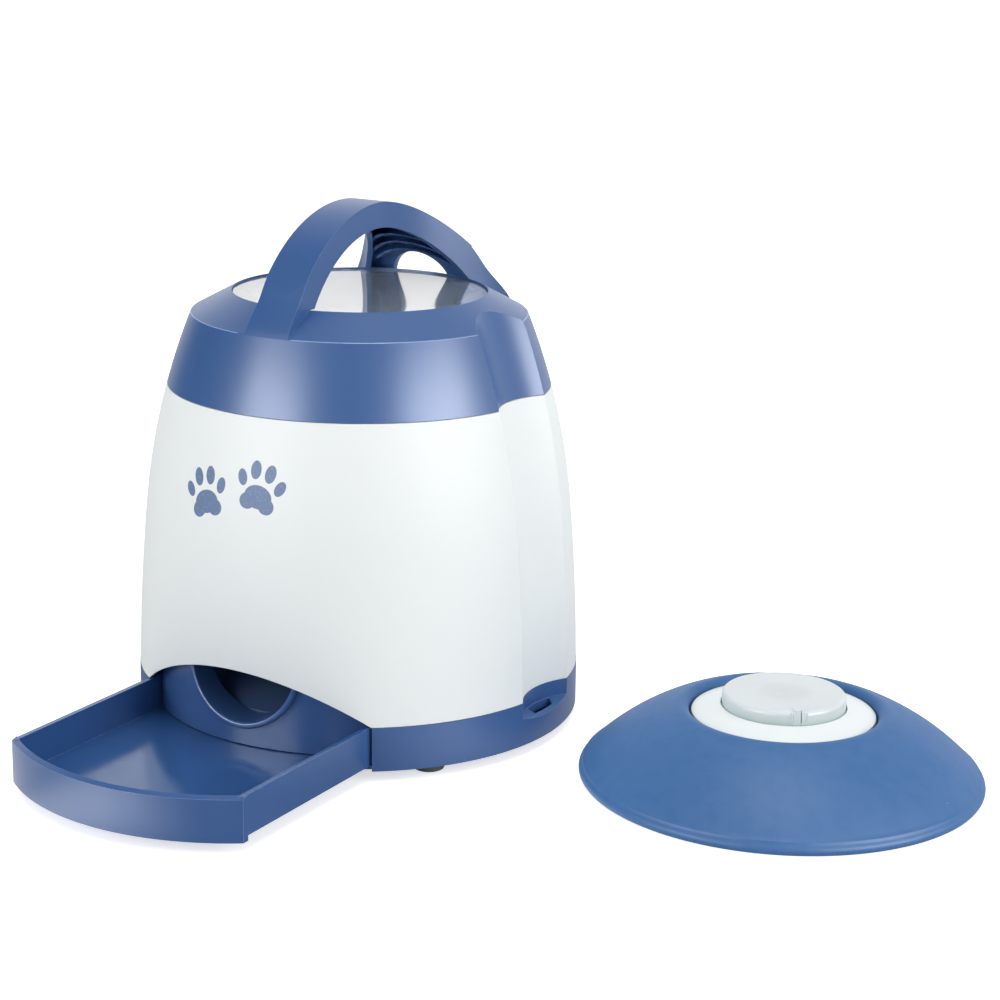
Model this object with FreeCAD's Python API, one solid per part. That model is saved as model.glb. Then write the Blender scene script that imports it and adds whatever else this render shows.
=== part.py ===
import FreeCAD, Part
import math
import os
from FreeCAD import Vector

# Treat dispenser for dogs with a separate radio push button.
# Units are millimetres. The dispenser's upright axis is X = Y = 0, the drawer opens
# towards -Y, and Z = 0 is the floor that the feet and the button unit stand on.

# Barrel: outline shared by base ring, outer shell and lid
ring_radius = 103.0
foot_height = 4.7
ring_height = 20.0
wall = 2.5
lower_arc_radius = 1010.0
upper_arc_radius = 312.0
arc_join_height = 103.0
lid_seam_height = 157.1
rim_height = 199.5
shoulder_drop = 9.9
rim_radius = 58.3
seam_gap = 0.3
fit_gap = 0.3

# Side scoops that run up both flanks
scoop_radius = 37.5
scoop_depth = 8.2
scoop_floor_height = 17.5
sound_slot_width = 16.0
sound_slot_depth = 5.0

# Front arch of the shell
arch_crown_height = 44.9
arch_half_width = 60.6
arch_arc_half_width = 50.0
arch_arc_drop = 12.3

# Treat drawer
drawer_half_width = 61.2
drawer_travel = 93.0
drawer_wall = 2.2
drawer_floor = 2.2
drawer_underside = 6.9
drawer_engagement = 23.0
drawer_front_wall = 2.6
drawer_front_overlap = 0.9
front_panel_gap = 0.4
guide_wall = 2.0

# Base plate, feet and case screws
base_plate = 1.9
foot_radius = 7.0
front_foot_x = 72.6
front_foot_y = -54.7
rear_foot_x = 67.0
rear_foot_y = 62.0
boss_radius = 5.5
case_screw_radius = 1.5
screw_head_radius = 3.0
screw_head_height = 2.2
shell_boss_length = 20.0

# Mechanism deck
deck_height = 26.0
deck_plate = 2.5
deck_post_radius = 3.6

# Chute panel with its round mouth, and the duct behind it
panel_radius = 96.0
panel_wall = 2.0
panel_foot_height = 9.6
panel_half_width = 64.0
mouth_height = 48.0
mouth_radius = 27.6
mouth_lip_width = 2.9
mouth_lip_stand = 2.6
mouth_collar_length = 14.0
panel_top_margin = 4.0
duct_wall = 2.0
duct_outlet_clearance = 1.0

# Dosing rotor, its housing and its shaft
rotor_y = -16.0
rotor_height = 95.0
rotor_radius = 25.5
rotor_length = 43.0
rotor_gap = 0.5
rotor_pockets = 6
pocket_radius = 8.5
pocket_end_disc = 2.0
housing_wall = 2.2
ear_thickness = 3.0
shaft_radius = 3.0
shaft_gap = 0.05
bush_wall = 2.0
bush_length = 4.0
inlet_radius = 20.0
outlet_width = 40.0
outlet_length = 28.0

# Gear train: rotor gear, two-step idler, motor pinion
gear_module = 0.8
rotor_gear_teeth = 40
idler_pinion_teeth = 16
idler_gear_teeth = 36
motor_pinion_teeth = 14
gear_width = 5.0
gear_step = 1.2
gear_backlash = 0.16
idler_pin_radius = 1.5
motor_radius = 12.0
motor_length = 26.0
motor_boss_radius = 3.5
motor_shaft_radius = 1.0
case_wall = 2.0
case_gap = 2.5
gearbox_screw_radius = 1.1
gearbox_head_radius = 2.2
gearbox_head_height = 1.7
deck_screw_bite = 6.0

# Portion switch on the far end of the rotor shaft
cam_radius = 8.0
cam_width = 3.0
cam_lobes = 6
cam_notch_radius = 1.6
switch_body = (8.0, 15.0, 8.0)
switch_lever_height = 2.6

# Hopper
hopper_radius = 73.0
hopper_wall = 2.0
hopper_rim_drop = 9.1
hopper_straight = 9.0
hopper_neck_length = 3.0
hopper_ledge_length = 5.0
hopper_ledge_width = 12.0

# Batteries of the dispenser
cell_radius = 13.1
cell_length = 50.0
cell_pitch = 27.3
cell_count = 4
cell_row_y = 57.0
battery_wall = 2.0
contact_half_width = 8.0
contact_plate = 0.8
contact_tip_radius = 3.5
contact_height = 3.0
door_plate = 1.8
door_gap = 0.5
door_contact_plate = 0.6

# Electronics
board_plate = 1.6
board_width = 84.0
board_depth = 26.0
board_post_height = 4.0
board_chips = [
    (-24.0, 0.0, 12.0, 12.0, 1.6),
    (2.0, 3.0, 16.0, 8.0, 3.0),
    (24.0, -4.0, 9.0, 7.0, 6.0),
    (-34.0, 6.0, 6.0, 5.0, 7.0),
]
capacitor_places = (10.0, 34.0)
capacitor_radius = 3.2
capacitor_height = 9.0
capacitor_offset = 6.0
receiver_width = 22.0
receiver_height = 14.0
speaker_radius = 13.0
speaker_height = 5.0
power_switch_x = -82.0
power_switch_y = 24.0
power_knob_width = 3.8
power_knob_length = 4.0
power_knob_stand = 0.8
power_switch_travel = 4.0
power_switch_body = (9.0, 14.0, 6.0)

# Lid with window and carrying handle
window_gap = 0.3
window_thickness = 2.6
window_set_down = 1.0
window_ledge = 5.3
gasket_thickness = 0.5
spigot_depth = 8.0
spigot_wall = 1.8
handle_rise = 40.2
handle_thickness = 11.7
handle_front_outer = 79.1
handle_rear_outer = 65.5
handle_front_inner = 64.9
handle_rear_inner = 54.3
handle_waist = 9.6
handle_front_half_width = 10.3
handle_flare_radius = 78.0
handle_rear_reach = 66.0
handle_front_reach = 80.0
handle_root_depth = 16.5
handle_skin = 3.0
handle_rib = 1.4
handle_rib_pitch = 4.4
handle_rib_recess = 1.6
handle_arch_radius = 15.0
handle_arch_rise = 9.8
handle_foot_half_width = 13.2
handle_foot_rise = 7.4
handle_foot_flare_start = 62.0

# Button unit
button_x = 209.3
button_y = 19.9
skirt_radius = 89.3
skirt_foot_radius = 88.3
skirt_foot_width = 2.8
skirt_wall = 3.0
skirt_hole_radius = 41.6
skirt_lip_height = 33.3
skirt_lip_radius = 44.8
skirt_dome_start = (88.0, 4.7)
skirt_dome_middle = (72.0, 18.7)
skirt_dome_end = (50.0, 31.0)
hub_radius = 40.8
hub_wall = 2.0
hub_floor_height = 1.2
hub_flange_radius = 47.5
hub_flange = 2.2
hub_base_radius = 82.2
plate_edge_height = 31.2
plate_centre_height = 33.7
plate_thickness = 2.0
plate_gap = 0.6
cap_radius = 27.1
cap_top_height = 39.9
cap_wall = 1.8
cap_gap = 0.5
cap_flange = 2.0
cap_travel = 3.0
cap_edge_round = 2.2
plunger_radius = 5.0
tact_height = 2.6
tact_width = 6.0
spring_radius = 8.5
spring_wire = 0.8
spring_turns = 6
button_board_height = 16.0
button_board_radius = 36.0
small_cell_radius = 5.25
small_cell_length = 44.5
small_cell_pitch = 11.2
cell_cover_radius = 27.0
cell_cover_gap = 0.3
led_radius = 1.5
led_height = 2.4
led_ring_radius = 16.0
led_count = 4
small_contact_half_width = 10.0
small_contact_plate = 0.8
small_screw_bite = 6.0
small_screw_radius = 1.05
small_head_radius = 2.0
small_head_height = 1.4

# Values that follow from the ones above
shoulder_height = rim_height - shoulder_drop
handle_apex = rim_height + handle_rise
handle_root_height = rim_height - handle_root_depth
handle_arch_top = rim_height + handle_arch_rise
hopper_rim_height = lid_seam_height - hopper_rim_drop
ring_top = foot_height + ring_height
shell_bottom = ring_top + seam_gap
shell_top = lid_seam_height - seam_gap
base_top_of_plate = foot_height + base_plate
drawer_rear_y = -math.sqrt(ring_radius ** 2 - drawer_half_width ** 2) + drawer_engagement
bay_half_width = drawer_half_width + front_panel_gap + drawer_front_overlap
bay_rear_y = drawer_rear_y + drawer_travel + 1.5
bay_top = ring_top + 0.5
deck_top = deck_height + deck_plate
foot_places = [
    (front_foot_x, front_foot_y),
    (-front_foot_x, front_foot_y),
    (rear_foot_x, rear_foot_y),
    (-rear_foot_x, rear_foot_y),
]
bore_radius = rotor_radius + rotor_gap
housing_half_inner = rotor_length / 2 + rotor_gap
housing_half_outer = housing_half_inner + housing_wall
housing_reach = bore_radius + housing_wall
housing_top = rotor_height + bore_radius + 0.5
housing_bottom = rotor_height - bore_radius - 1.0
outlet_rear_y = rotor_y + 6.0
idler_y = rotor_y + gear_module * (rotor_gear_teeth + idler_pinion_teeth) / 2
motor_y = idler_y + gear_module * (idler_gear_teeth + motor_pinion_teeth) / 2
gear_x = housing_half_outer + 3.5
second_gear_x = gear_x + gear_width + gear_step
case_inner_x = second_gear_x + gear_width + 1.5
case_outer_x = case_inner_x + case_wall
rotor_gear_tip = gear_module * (rotor_gear_teeth / 2 + 1)
case_front_y = rotor_y - rotor_gear_tip - case_gap - case_wall
case_rear_y = motor_y + motor_radius + case_wall
case_half_height = rotor_gear_tip + case_gap + case_wall
case_bottom = rotor_height - case_half_height
battery_floor = base_top_of_plate + 2.6
battery_top = battery_floor + cell_length + contact_height
battery_half_x = (cell_count - 1) * cell_pitch / 2 + cell_radius + 0.5
battery_half_y = cell_radius + 0.5
board_height = battery_top + battery_wall + board_post_height
window_top = rim_height - window_set_down
window_bottom = window_top - window_thickness
ledge_top = window_bottom - gasket_thickness
cap_flange_top = plate_centre_height - plate_thickness - 0.4
cap_inside_top = cap_top_height - cap_wall
board_top = button_board_height + board_plate
plunger_bottom = board_top + tact_height + cap_travel + 0.05


def box(low, high):
    return Part.makeBox(high[0] - low[0], high[1] - low[1], high[2] - low[2], Vector(*low))


def upright(radius, low, high, x=0.0, y=0.0):
    return Part.makeCylinder(radius, high - low, Vector(x, y, low))


def along_x(radius, low, high, y, z):
    return Part.makeCylinder(radius, high - low, Vector(low, y, z), Vector(1, 0, 0))


def along_y(radius, low, high, x, z):
    return Part.makeCylinder(radius, high - low, Vector(x, low, z), Vector(0, 1, 0))


def polygon_face(points):
    return Part.Face(Part.makePolygon([Vector(*p) for p in points + points[:1]]))


def arc(start, middle, end):
    return Part.Arc(Vector(*start), Vector(*middle), Vector(*end)).toShape()


def line(start, end):
    return Part.makeLine(Vector(*start), Vector(*end))


def face_of(edges):
    return Part.Face(Part.Wire(edges))


def turned(face, x=0.0, y=0.0):
    return face.revolve(Vector(x, y, 0), Vector(0, 0, 1), 360)


def fused(shapes):
    result = shapes[0]
    for shape in shapes[1:]:
        result = result.fuse(shape)
    return result.removeSplitter()


def without(shape, cutters):
    for cutter in cutters:
        shape = shape.cut(cutter)
    return shape


# The barrel's outline is two arcs, tangent where they join
lower_centre = (ring_radius - lower_arc_radius, foot_height)
join_sine = (arc_join_height - foot_height) / lower_arc_radius
join_cosine = math.sqrt(1 - join_sine ** 2)
centre_step = lower_arc_radius - upper_arc_radius
upper_centre = (
    lower_centre[0] + centre_step * join_cosine,
    lower_centre[1] + centre_step * join_sine,
)


def barrel_radius(height, inset=0.0):
    if height < arc_join_height:
        centre, radius = lower_centre, lower_arc_radius - inset
    else:
        centre, radius = upper_centre, upper_arc_radius - inset
    return centre[0] + math.sqrt(radius ** 2 - (height - centre[1]) ** 2)


def barrel_edges(low, high, inset=0.0):
    stops = [low, high]
    if low < arc_join_height < high:
        stops = [low, arc_join_height, high]
    edges = []
    for start, end in zip(stops[:-1], stops[1:]):
        heights = (start, (start + end) / 2, end)
        edges.append(arc(*[(barrel_radius(h, inset), 0, h) for h in heights]))
    return edges


def barrel_solid(low, high, inset=0.0):
    edges = barrel_edges(low, high, inset)
    edges.append(line((barrel_radius(high, inset), 0, high), (0, 0, high)))
    edges.append(line((0, 0, high), (0, 0, low)))
    edges.append(line((0, 0, low), (barrel_radius(low, inset), 0, low)))
    return turned(face_of(edges))


def scoops(growth=0.0, low=0.0):
    # Round cutters bent along the barrel's two outline arcs, one on each flank
    arcs = [
        (lower_centre, lower_arc_radius, foot_height - 20, arc_join_height),
        (upper_centre, upper_arc_radius, arc_join_height, rim_height + 20),
    ]
    pieces = []
    for centre, radius, start, end in arcs:
        track = radius - scoop_depth + scoop_radius
        if start < arc_join_height:
            turns = [math.asin((start - centre[1]) / radius), math.asin(join_sine)]
        else:
            turns = [math.asin(join_sine), math.asin((end - centre[1]) / radius)]
        disc = Part.Face(
            Part.Wire([Part.makeCircle(scoop_radius + growth, Vector(centre[0] + track, 0, centre[1]))])
        )
        axis_point = Vector(centre[0], 0, centre[1])
        disc.rotate(axis_point, Vector(0, 1, 0), -math.degrees(turns[0]))
        pieces.append(
            disc.revolve(axis_point, Vector(0, -1, 0), math.degrees(turns[1] - turns[0]))
        )
    right = pieces[0].fuse(pieces[1])
    if low:
        right = right.cut(box((0, -2 * scoop_radius, -50), (3 * ring_radius, 2 * scoop_radius, low)))
    return [right, right.mirror(Vector(0, 0, 0), Vector(1, 0, 0))]


def base_housing():
    ring = upright(ring_radius, foot_height, ring_top)
    ring = without(ring, scoops(0.0, scoop_floor_height))
    hollow = upright(ring_radius - wall, base_top_of_plate, ring_top + 1)
    hollow = without(hollow, scoops(wall, scoop_floor_height - wall))
    body = ring.cut(hollow)
    # Drawer bay: the ring is open in front, and a guide wall stands on each side
    front_cut = box(
        (-bay_half_width, -ring_radius - 1, base_top_of_plate),
        (bay_half_width, -ring_radius / 2, ring_top + 1),
    )
    body = body.cut(front_cut)
    # The plate stops short of the drawer's front wall, which closes over its edge
    plate_reach = ring_radius - drawer_front_wall - front_panel_gap
    lap = box(
        (-bay_half_width, -ring_radius - 1, foot_height - 1),
        (bay_half_width, 0, base_top_of_plate + 1),
    ).cut(upright(plate_reach, foot_height - 2, base_top_of_plate + 2))
    body = body.cut(lap)
    guide_front_y = -math.sqrt((ring_radius - wall / 2) ** 2 - bay_half_width ** 2)
    guides = []
    for side in (-1, 1):
        inner = side * bay_half_width
        outer = side * (bay_half_width + guide_wall)
        guides.append(
            box(
                (min(inner, outer), guide_front_y, foot_height + 0.5),
                (max(inner, outer), bay_rear_y, ring_top),
            )
        )
    rear_half = bay_half_width + guide_wall
    rear_stop = box(
        (-rear_half, bay_rear_y, foot_height + 0.5),
        (rear_half, bay_rear_y + guide_wall, ring_top),
    )
    posts = []
    for x, y in foot_places:
        posts.append(upright(boss_radius, foot_height, deck_height, x, y))
    body = fused([body] + guides + [rear_stop] + posts)
    for x, y in foot_places:
        body = body.cut(upright(case_screw_radius + 0.2, foot_height - 1, deck_height + 1, x, y))
        head_hole = screw_head_radius + 0.3
        body = body.cut(
            upright(head_hole, foot_height - 1, foot_height + screw_head_height + 0.3, x, y)
        )
    # Sound slots in the floor of each scoop
    slot_outer = barrel_radius(scoop_floor_height) - scoop_depth + sound_slot_depth
    slot_inner = slot_outer - 2 * sound_slot_depth
    half_wide = sound_slot_width / 2 + 2 * sound_slot_depth
    outline = [
        (slot_outer, -sound_slot_width / 2, scoop_floor_height - wall - 1),
        (slot_outer, sound_slot_width / 2, scoop_floor_height - wall - 1),
        (slot_inner, half_wide, scoop_floor_height - wall - 1),
        (slot_inner, -half_wide, scoop_floor_height - wall - 1),
    ]
    slot = polygon_face(outline).extrude(Vector(0, 0, wall + 2))
    scoop_pair = scoops(0.0, scoop_floor_height - wall - 1)
    right_slot = slot.common(scoop_pair[0])
    body = body.cut(right_slot)
    body = body.cut(right_slot.mirror(Vector(0, 0, 0), Vector(1, 0, 0)))
    # Openings for the battery door and the power switch
    body = body.cut(
        box(
            (-battery_half_x, cell_row_y - battery_half_y, foot_height - 1),
            (battery_half_x, cell_row_y + battery_half_y, base_top_of_plate + 1),
        )
    )
    knob_half = power_knob_width / 2 + 0.3
    body = body.cut(
        box(
            (power_switch_x - knob_half, power_switch_y - 0.3, foot_height - 1),
            (
                power_switch_x + knob_half,
                power_switch_y + power_knob_length + power_switch_travel + 0.3,
                base_top_of_plate + 1,
            ),
        )
    )
    return body


def rubber_feet():
    return [upright(foot_radius, 0, foot_height, x, y) for x, y in foot_places]


def case_screws():
    screws = []
    for x, y in foot_places:
        head = upright(
            screw_head_radius, foot_height + 0.2, foot_height + 0.2 + screw_head_height, x, y
        )
        head_top = foot_height + screw_head_height
        shank = upright(case_screw_radius, head_top, deck_top + shell_boss_length - 5, x, y)
        screws.append(fused([head, shank]))
    return screws


def arch_cutter():
    # Shallow arch over the drawer, cut through the front wall only
    foot = shell_bottom - 1
    shoulder = arch_crown_height - arch_arc_drop
    edges = [
        line((-arch_half_width, 0, foot), (-arch_arc_half_width, 0, shoulder)),
        arc(
            (-arch_arc_half_width, 0, shoulder),
            (0, 0, arch_crown_height),
            (arch_arc_half_width, 0, shoulder),
        ),
        line((arch_arc_half_width, 0, shoulder), (arch_half_width, 0, foot)),
        line((arch_half_width, 0, foot), (-arch_half_width, 0, foot)),
    ]
    return face_of(edges).extrude(Vector(0, -2 * ring_radius, 0))


def outer_shell():
    skin = without(barrel_solid(shell_bottom, shell_top), scoops())
    hollow = without(barrel_solid(shell_bottom - 1, shell_top + 1, wall), scoops(wall))
    inside = without(barrel_solid(shell_bottom, shell_top, wall / 2), scoops(wall / 2))
    body = skin.cut(hollow).cut(arch_cutter())
    additions = []
    boss_bottom = deck_top + fit_gap
    for x, y in foot_places:
        boss = upright(boss_radius, boss_bottom, boss_bottom + shell_boss_length, x, y)
        length = math.hypot(x, y)
        rib = box((length, -1.0, boss_bottom), (ring_radius, 1.0, boss_bottom + shell_boss_length))
        rib.rotate(Vector(0, 0, 0), Vector(0, 0, 1), math.degrees(math.atan2(y, x)))
        additions.append(fused([boss, rib]).common(inside))
    ledge_top_z = hopper_rim_height - hopper_wall
    for angle in (45, 135, 225, 315):
        inner = barrel_radius(ledge_top_z, wall) - 3.0
        ledge = box(
            (inner, -hopper_ledge_width / 2, ledge_top_z - hopper_ledge_length),
            (ring_radius, hopper_ledge_width / 2, ledge_top_z),
        )
        ledge.rotate(Vector(0, 0, 0), Vector(0, 0, 1), angle)
        additions.append(ledge.common(inside))
    body = fused([body] + additions)
    for x, y in foot_places:
        body = body.cut(upright(case_screw_radius, boss_bottom - 1, deck_top + shell_boss_length - 3, x, y))
    return body


def chute_panel():
    top = mouth_height + mouth_radius + mouth_lip_width + panel_top_margin
    sheet = upright(panel_radius, panel_foot_height, top)
    sheet = sheet.cut(upright(panel_radius - panel_wall, panel_foot_height - 1, top + 1))
    # Below the drawer's rim the sheet is narrow enough to stand between its side walls
    low_half = drawer_half_width - drawer_wall - 0.8
    narrow = box((-low_half, -ring_radius, 0), (low_half, 0, bay_top + 0.6))
    wide = box((-panel_half_width, -ring_radius, bay_top + 0.6), (panel_half_width, 0, top + 1))
    sheet = sheet.common(narrow.fuse(wide))
    collar_back = -panel_radius + mouth_collar_length
    collar = along_y(
        mouth_radius + mouth_lip_width, -ring_radius, collar_back, 0, mouth_height
    ).common(upright(panel_radius + mouth_lip_stand, 0, top))
    collar = collar.common(barrel_solid(panel_foot_height, top, wall + fit_gap))
    hole = along_y(mouth_radius, -ring_radius - 1, collar_back + 1, 0, mouth_height)
    return fused([sheet, collar]).cut(hole)


def chute_duct():
    front_y = -panel_radius + mouth_collar_length
    low = mouth_height - mouth_radius
    high = mouth_height + mouth_radius
    back_y = outlet_rear_y
    top = housing_bottom
    ramp_top = top - 5.5
    t = duct_wall
    lip_y = rotor_y - housing_reach - 1.0 + t
    inner = [
        (0, front_y - 1, low),
        (0, back_y, ramp_top),
        (0, back_y, top - t),
        (0, lip_y, top - t),
        (0, front_y - 1, high),
    ]
    outer = [
        (0, front_y, low - t * 1.16),
        (0, back_y + t, ramp_top - t * 0.2),
        (0, back_y + t, top),
        (0, lip_y - t, top),
        (0, front_y, high + t),
    ]
    half = mouth_radius
    shell = polygon_face(outer).extrude(Vector(2 * (half + t), 0, 0))
    shell.translate(Vector(-half - t, 0, 0))
    void = polygon_face(inner).extrude(Vector(2 * half, 0, 0))
    void.translate(Vector(-half, 0, 0))
    inlet = box(
        (-outlet_width / 2 - duct_outlet_clearance, back_y - outlet_length, top - t - 1),
        (outlet_width / 2 + duct_outlet_clearance, back_y, top + 1),
    )
    return shell.cut(void).cut(inlet)


def mechanism_deck():
    edge_gap = 0.6
    plate = barrel_solid(deck_height, deck_top, wall + edge_gap)
    plate = without(plate, scoops(wall + edge_gap))
    # Room for the chute panel, the mouth collar and the duct
    front = box(
        (-panel_half_width - 0.6, -ring_radius - 1, deck_height - 1),
        (panel_half_width + 0.6, 0, deck_top + 1),
    )
    plate = plate.cut(front.cut(upright(panel_radius - panel_wall - 0.3, deck_height - 2, deck_top + 2)))
    slot_half = mouth_radius + mouth_lip_width + 0.6
    plate = plate.cut(
        box((-slot_half, -ring_radius, deck_height - 1), (slot_half, rotor_y - 36.0, deck_top + 1))
    )
    clear = battery_wall + 0.4
    plate = plate.cut(
        box(
            (-battery_half_x - clear, cell_row_y - battery_half_y - clear, deck_height - 1),
            (battery_half_x + clear, cell_row_y + battery_half_y + clear, deck_top + 1),
        )
    )
    for x, y in foot_places:
        plate = plate.cut(upright(case_screw_radius + 0.2, deck_height - 1, deck_top + 1, x, y))
    posts = []
    for x, y, top in deck_posts():
        posts.append(upright(deck_post_radius, deck_top - 0.5, top, x, y))
    body = fused([plate] + posts)
    for x, y, top in deck_posts():
        body = body.cut(upright(gearbox_screw_radius, top - deck_screw_bite - 2, top + 1, x, y))
    return body


def deck_posts():
    # Two posts under the rotor housing's ears and two under the gearbox case
    left_x = -mouth_radius - duct_wall - deck_post_radius - 0.8
    right_x = left_x * -1
    return [
        (left_x, rotor_y - 18.0, housing_bottom),
        (left_x, rotor_y + 20.0, housing_bottom),
        (right_x, rotor_y - 8.0, case_bottom),
        (right_x, motor_y, case_bottom),
    ]


def rotor_housing():
    left = -housing_half_outer
    block = box(
        (left, rotor_y - housing_reach, housing_bottom),
        (housing_half_inner, rotor_y + housing_reach, housing_top),
    )
    ears = []
    for x, y, top in deck_posts()[:2]:
        ear = box((x - 4.5, y - 4.5, top), (left + 1, y + 4.5, top + ear_thickness))
        ears.append(ear)
    block = fused([block] + ears)
    block = block.cut(
        along_x(bore_radius, -housing_half_inner, housing_half_inner + 1, rotor_y, rotor_height)
    )
    block = block.cut(upright(inlet_radius, rotor_height, housing_top + 1, 0, rotor_y))
    block = block.cut(
        box(
            (-outlet_width / 2, outlet_rear_y - outlet_length, housing_bottom - 1),
            (outlet_width / 2, outlet_rear_y, rotor_height - bore_radius / 2),
        )
    )
    bush_hole = shaft_radius + bush_wall + 0.02
    block = block.cut(
        along_x(bush_hole, left - 1, -housing_half_inner + 1, rotor_y, rotor_height)
    )
    for x, y, top in deck_posts()[:2]:
        block = block.cut(upright(gearbox_screw_radius + 0.2, top - 1, top + ear_thickness + 1, x, y))
    return block


def gear_plate():
    low_x = housing_half_inner
    plate = box(
        (low_x, rotor_y - housing_reach, housing_bottom),
        (housing_half_outer, case_rear_y, housing_top),
    )
    bush_hole = shaft_radius + bush_wall + 0.02
    plate = plate.cut(along_x(bush_hole, low_x - 1, housing_half_outer + 1, rotor_y, rotor_height))
    plate = plate.cut(
        along_x(idler_pin_radius + 0.02, low_x - 1, housing_half_outer + 1, idler_y, rotor_height)
    )
    for y, z in gearbox_screw_places():
        plate = plate.cut(along_x(gearbox_screw_radius, low_x - 1, housing_half_outer + 1, y, z))
    return plate


def gearbox_screw_places():
    inset = case_wall + 2.2
    places = []
    for y in (case_front_y + inset, case_rear_y - inset):
        for z in (rotor_height - case_half_height + inset, rotor_height + case_half_height - inset):
            places.append((y, z))
    return places


def gearbox_case():
    body = box(
        (housing_half_outer, case_front_y, rotor_height - case_half_height),
        (case_outer_x, case_rear_y, rotor_height + case_half_height),
    )
    body = body.cut(
        box(
            (
                housing_half_outer - 1,
                case_front_y + case_wall,
                rotor_height - case_half_height + case_wall,
            ),
            (case_inner_x, case_rear_y - case_wall, rotor_height + case_half_height - case_wall),
        )
    )
    pillars = []
    for y, z in gearbox_screw_places():
        pillars.append(along_x(gearbox_screw_radius + 1.4, housing_half_outer, case_outer_x, y, z))
    body = fused([body] + pillars)
    for y, z in gearbox_screw_places():
        body = body.cut(
            along_x(gearbox_screw_radius + 0.15, housing_half_outer - 1, case_outer_x + 1, y, z)
        )
    for x, y, top in deck_posts()[2:]:
        body = body.cut(upright(gearbox_screw_radius + 0.2, top - 1, top + case_wall + 1, x, y))
    body = body.cut(
        along_x(motor_boss_radius + 0.1, case_inner_x - 1, case_outer_x + 1, motor_y, rotor_height)
    )
    body = body.cut(
        along_x(idler_pin_radius + 0.02, case_inner_x - 1, case_outer_x + 1, idler_y, rotor_height)
    )
    return body


def gearbox_screws():
    screws = []
    for y, z in gearbox_screw_places():
        shank = along_x(gearbox_screw_radius - 0.05, housing_half_inner + 0.3, case_outer_x + 0.5, y, z)
        head_start = case_outer_x + 0.1
        head = along_x(gearbox_head_radius, head_start, head_start + gearbox_head_height, y, z)
        screws.append(fused([shank, head]))
    return screws


def mechanism_screws():
    screws = []
    for (x, y, top), seat in zip(deck_posts(), (ear_thickness, ear_thickness, case_wall, case_wall)):
        head_bottom = top + seat + 0.1
        shank = upright(gearbox_screw_radius - 0.05, top - deck_screw_bite, head_bottom + 0.1, x, y)
        head = upright(gearbox_head_radius, head_bottom, head_bottom + gearbox_head_height, x, y)
        screws.append(fused([shank, head]))
    return screws


def shaft_bushes():
    bushes = []
    for start in (-housing_half_inner - bush_length, housing_half_inner):
        outer = along_x(shaft_radius + bush_wall, start, start + bush_length, rotor_y, rotor_height)
        bore = along_x(
            shaft_radius + shaft_gap, start - 1, start + bush_length + 1, rotor_y, rotor_height
        )
        bushes.append(outer.cut(bore))
    return bushes


def rotor_shaft():
    left_end = -housing_half_outer - cam_width - 5.0
    right_end = gear_x + gear_width + 0.5
    return along_x(shaft_radius, left_end, right_end, rotor_y, rotor_height)


def dosing_rotor():
    half = rotor_length / 2
    drum = along_x(rotor_radius, -half, half, rotor_y, rotor_height)
    drum = drum.cut(along_x(shaft_radius + 0.02, -half - 1, half + 1, rotor_y, rotor_height))
    pocket_ring = rotor_radius - pocket_radius + 2.0
    for index in range(rotor_pockets):
        angle = 2 * math.pi * (index + 0.5) / rotor_pockets
        pocket = along_x(
            pocket_radius,
            -half + pocket_end_disc,
            half - pocket_end_disc,
            rotor_y + pocket_ring * math.cos(angle),
            rotor_height + pocket_ring * math.sin(angle),
        )
        drum = drum.cut(pocket)
    return drum


def involute_turn(radius, base_radius):
    tangent = math.sqrt(max(0.0, (radius / base_radius) ** 2 - 1))
    return tangent - math.atan(tangent)


def spur_gear(teeth, start, y, bore, tooth_at_rear):
    # Involute spur gear about an axis along X; a tooth or a gap faces the next gear
    pitch = gear_module * teeth / 2
    base = pitch * math.cos(math.radians(20))
    tip = pitch + 0.9 * gear_module
    root = pitch - 1.2 * gear_module
    half_tooth = math.pi / (2 * teeth) - gear_backlash / (2 * pitch)
    pitch_turn = involute_turn(pitch, base)
    flank = [max(root, base) + (tip - max(root, base)) * step / 4 for step in range(5)]
    offset = 0.0
    if not tooth_at_rear and teeth % 2 == 0:
        offset = math.pi / teeth
    points = []
    for index in range(teeth):
        middle = offset + 2 * math.pi * index / teeth
        spans = [(r, half_tooth + pitch_turn - involute_turn(r, base)) for r in flank]
        spans.insert(0, (root, spans[0][1]))
        for r, turn in spans:
            points.append((r, middle - turn))
        for r, turn in reversed(spans):
            points.append((r, middle + turn))
    outline = [
        (start, y + r * math.cos(a), rotor_height + r * math.sin(a)) for r, a in points
    ]
    body = polygon_face(outline).extrude(Vector(gear_width, 0, 0))
    return body.cut(along_x(bore, start - 1, start + gear_width + 1, y, rotor_height))


def rotor_gear():
    return spur_gear(rotor_gear_teeth, gear_x, rotor_y, shaft_radius + 0.02, True)


def idler_gear():
    bore = idler_pin_radius + shaft_gap
    small = spur_gear(idler_pinion_teeth, gear_x, idler_y, bore, False)
    large = spur_gear(idler_gear_teeth, second_gear_x, idler_y, bore, True)
    neck_radius = gear_module * (idler_pinion_teeth / 2 - 1.2)
    neck = along_x(
        neck_radius, gear_x + gear_width - 0.5, second_gear_x + 0.5, idler_y, rotor_height
    )
    neck = neck.cut(
        along_x(bore, gear_x + gear_width - 1, second_gear_x + 1, idler_y, rotor_height)
    )
    return fused([small, neck, large])


def idler_pin():
    return along_x(
        idler_pin_radius, housing_half_inner + 0.2, case_outer_x, idler_y, rotor_height
    )


def motor_pinion():
    return spur_gear(
        motor_pinion_teeth, second_gear_x, motor_y, motor_shaft_radius + 0.02, False
    )


def motor_shaft():
    return along_x(
        motor_shaft_radius, second_gear_x - 0.5, case_outer_x + 3.0, motor_y, rotor_height
    )


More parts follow.
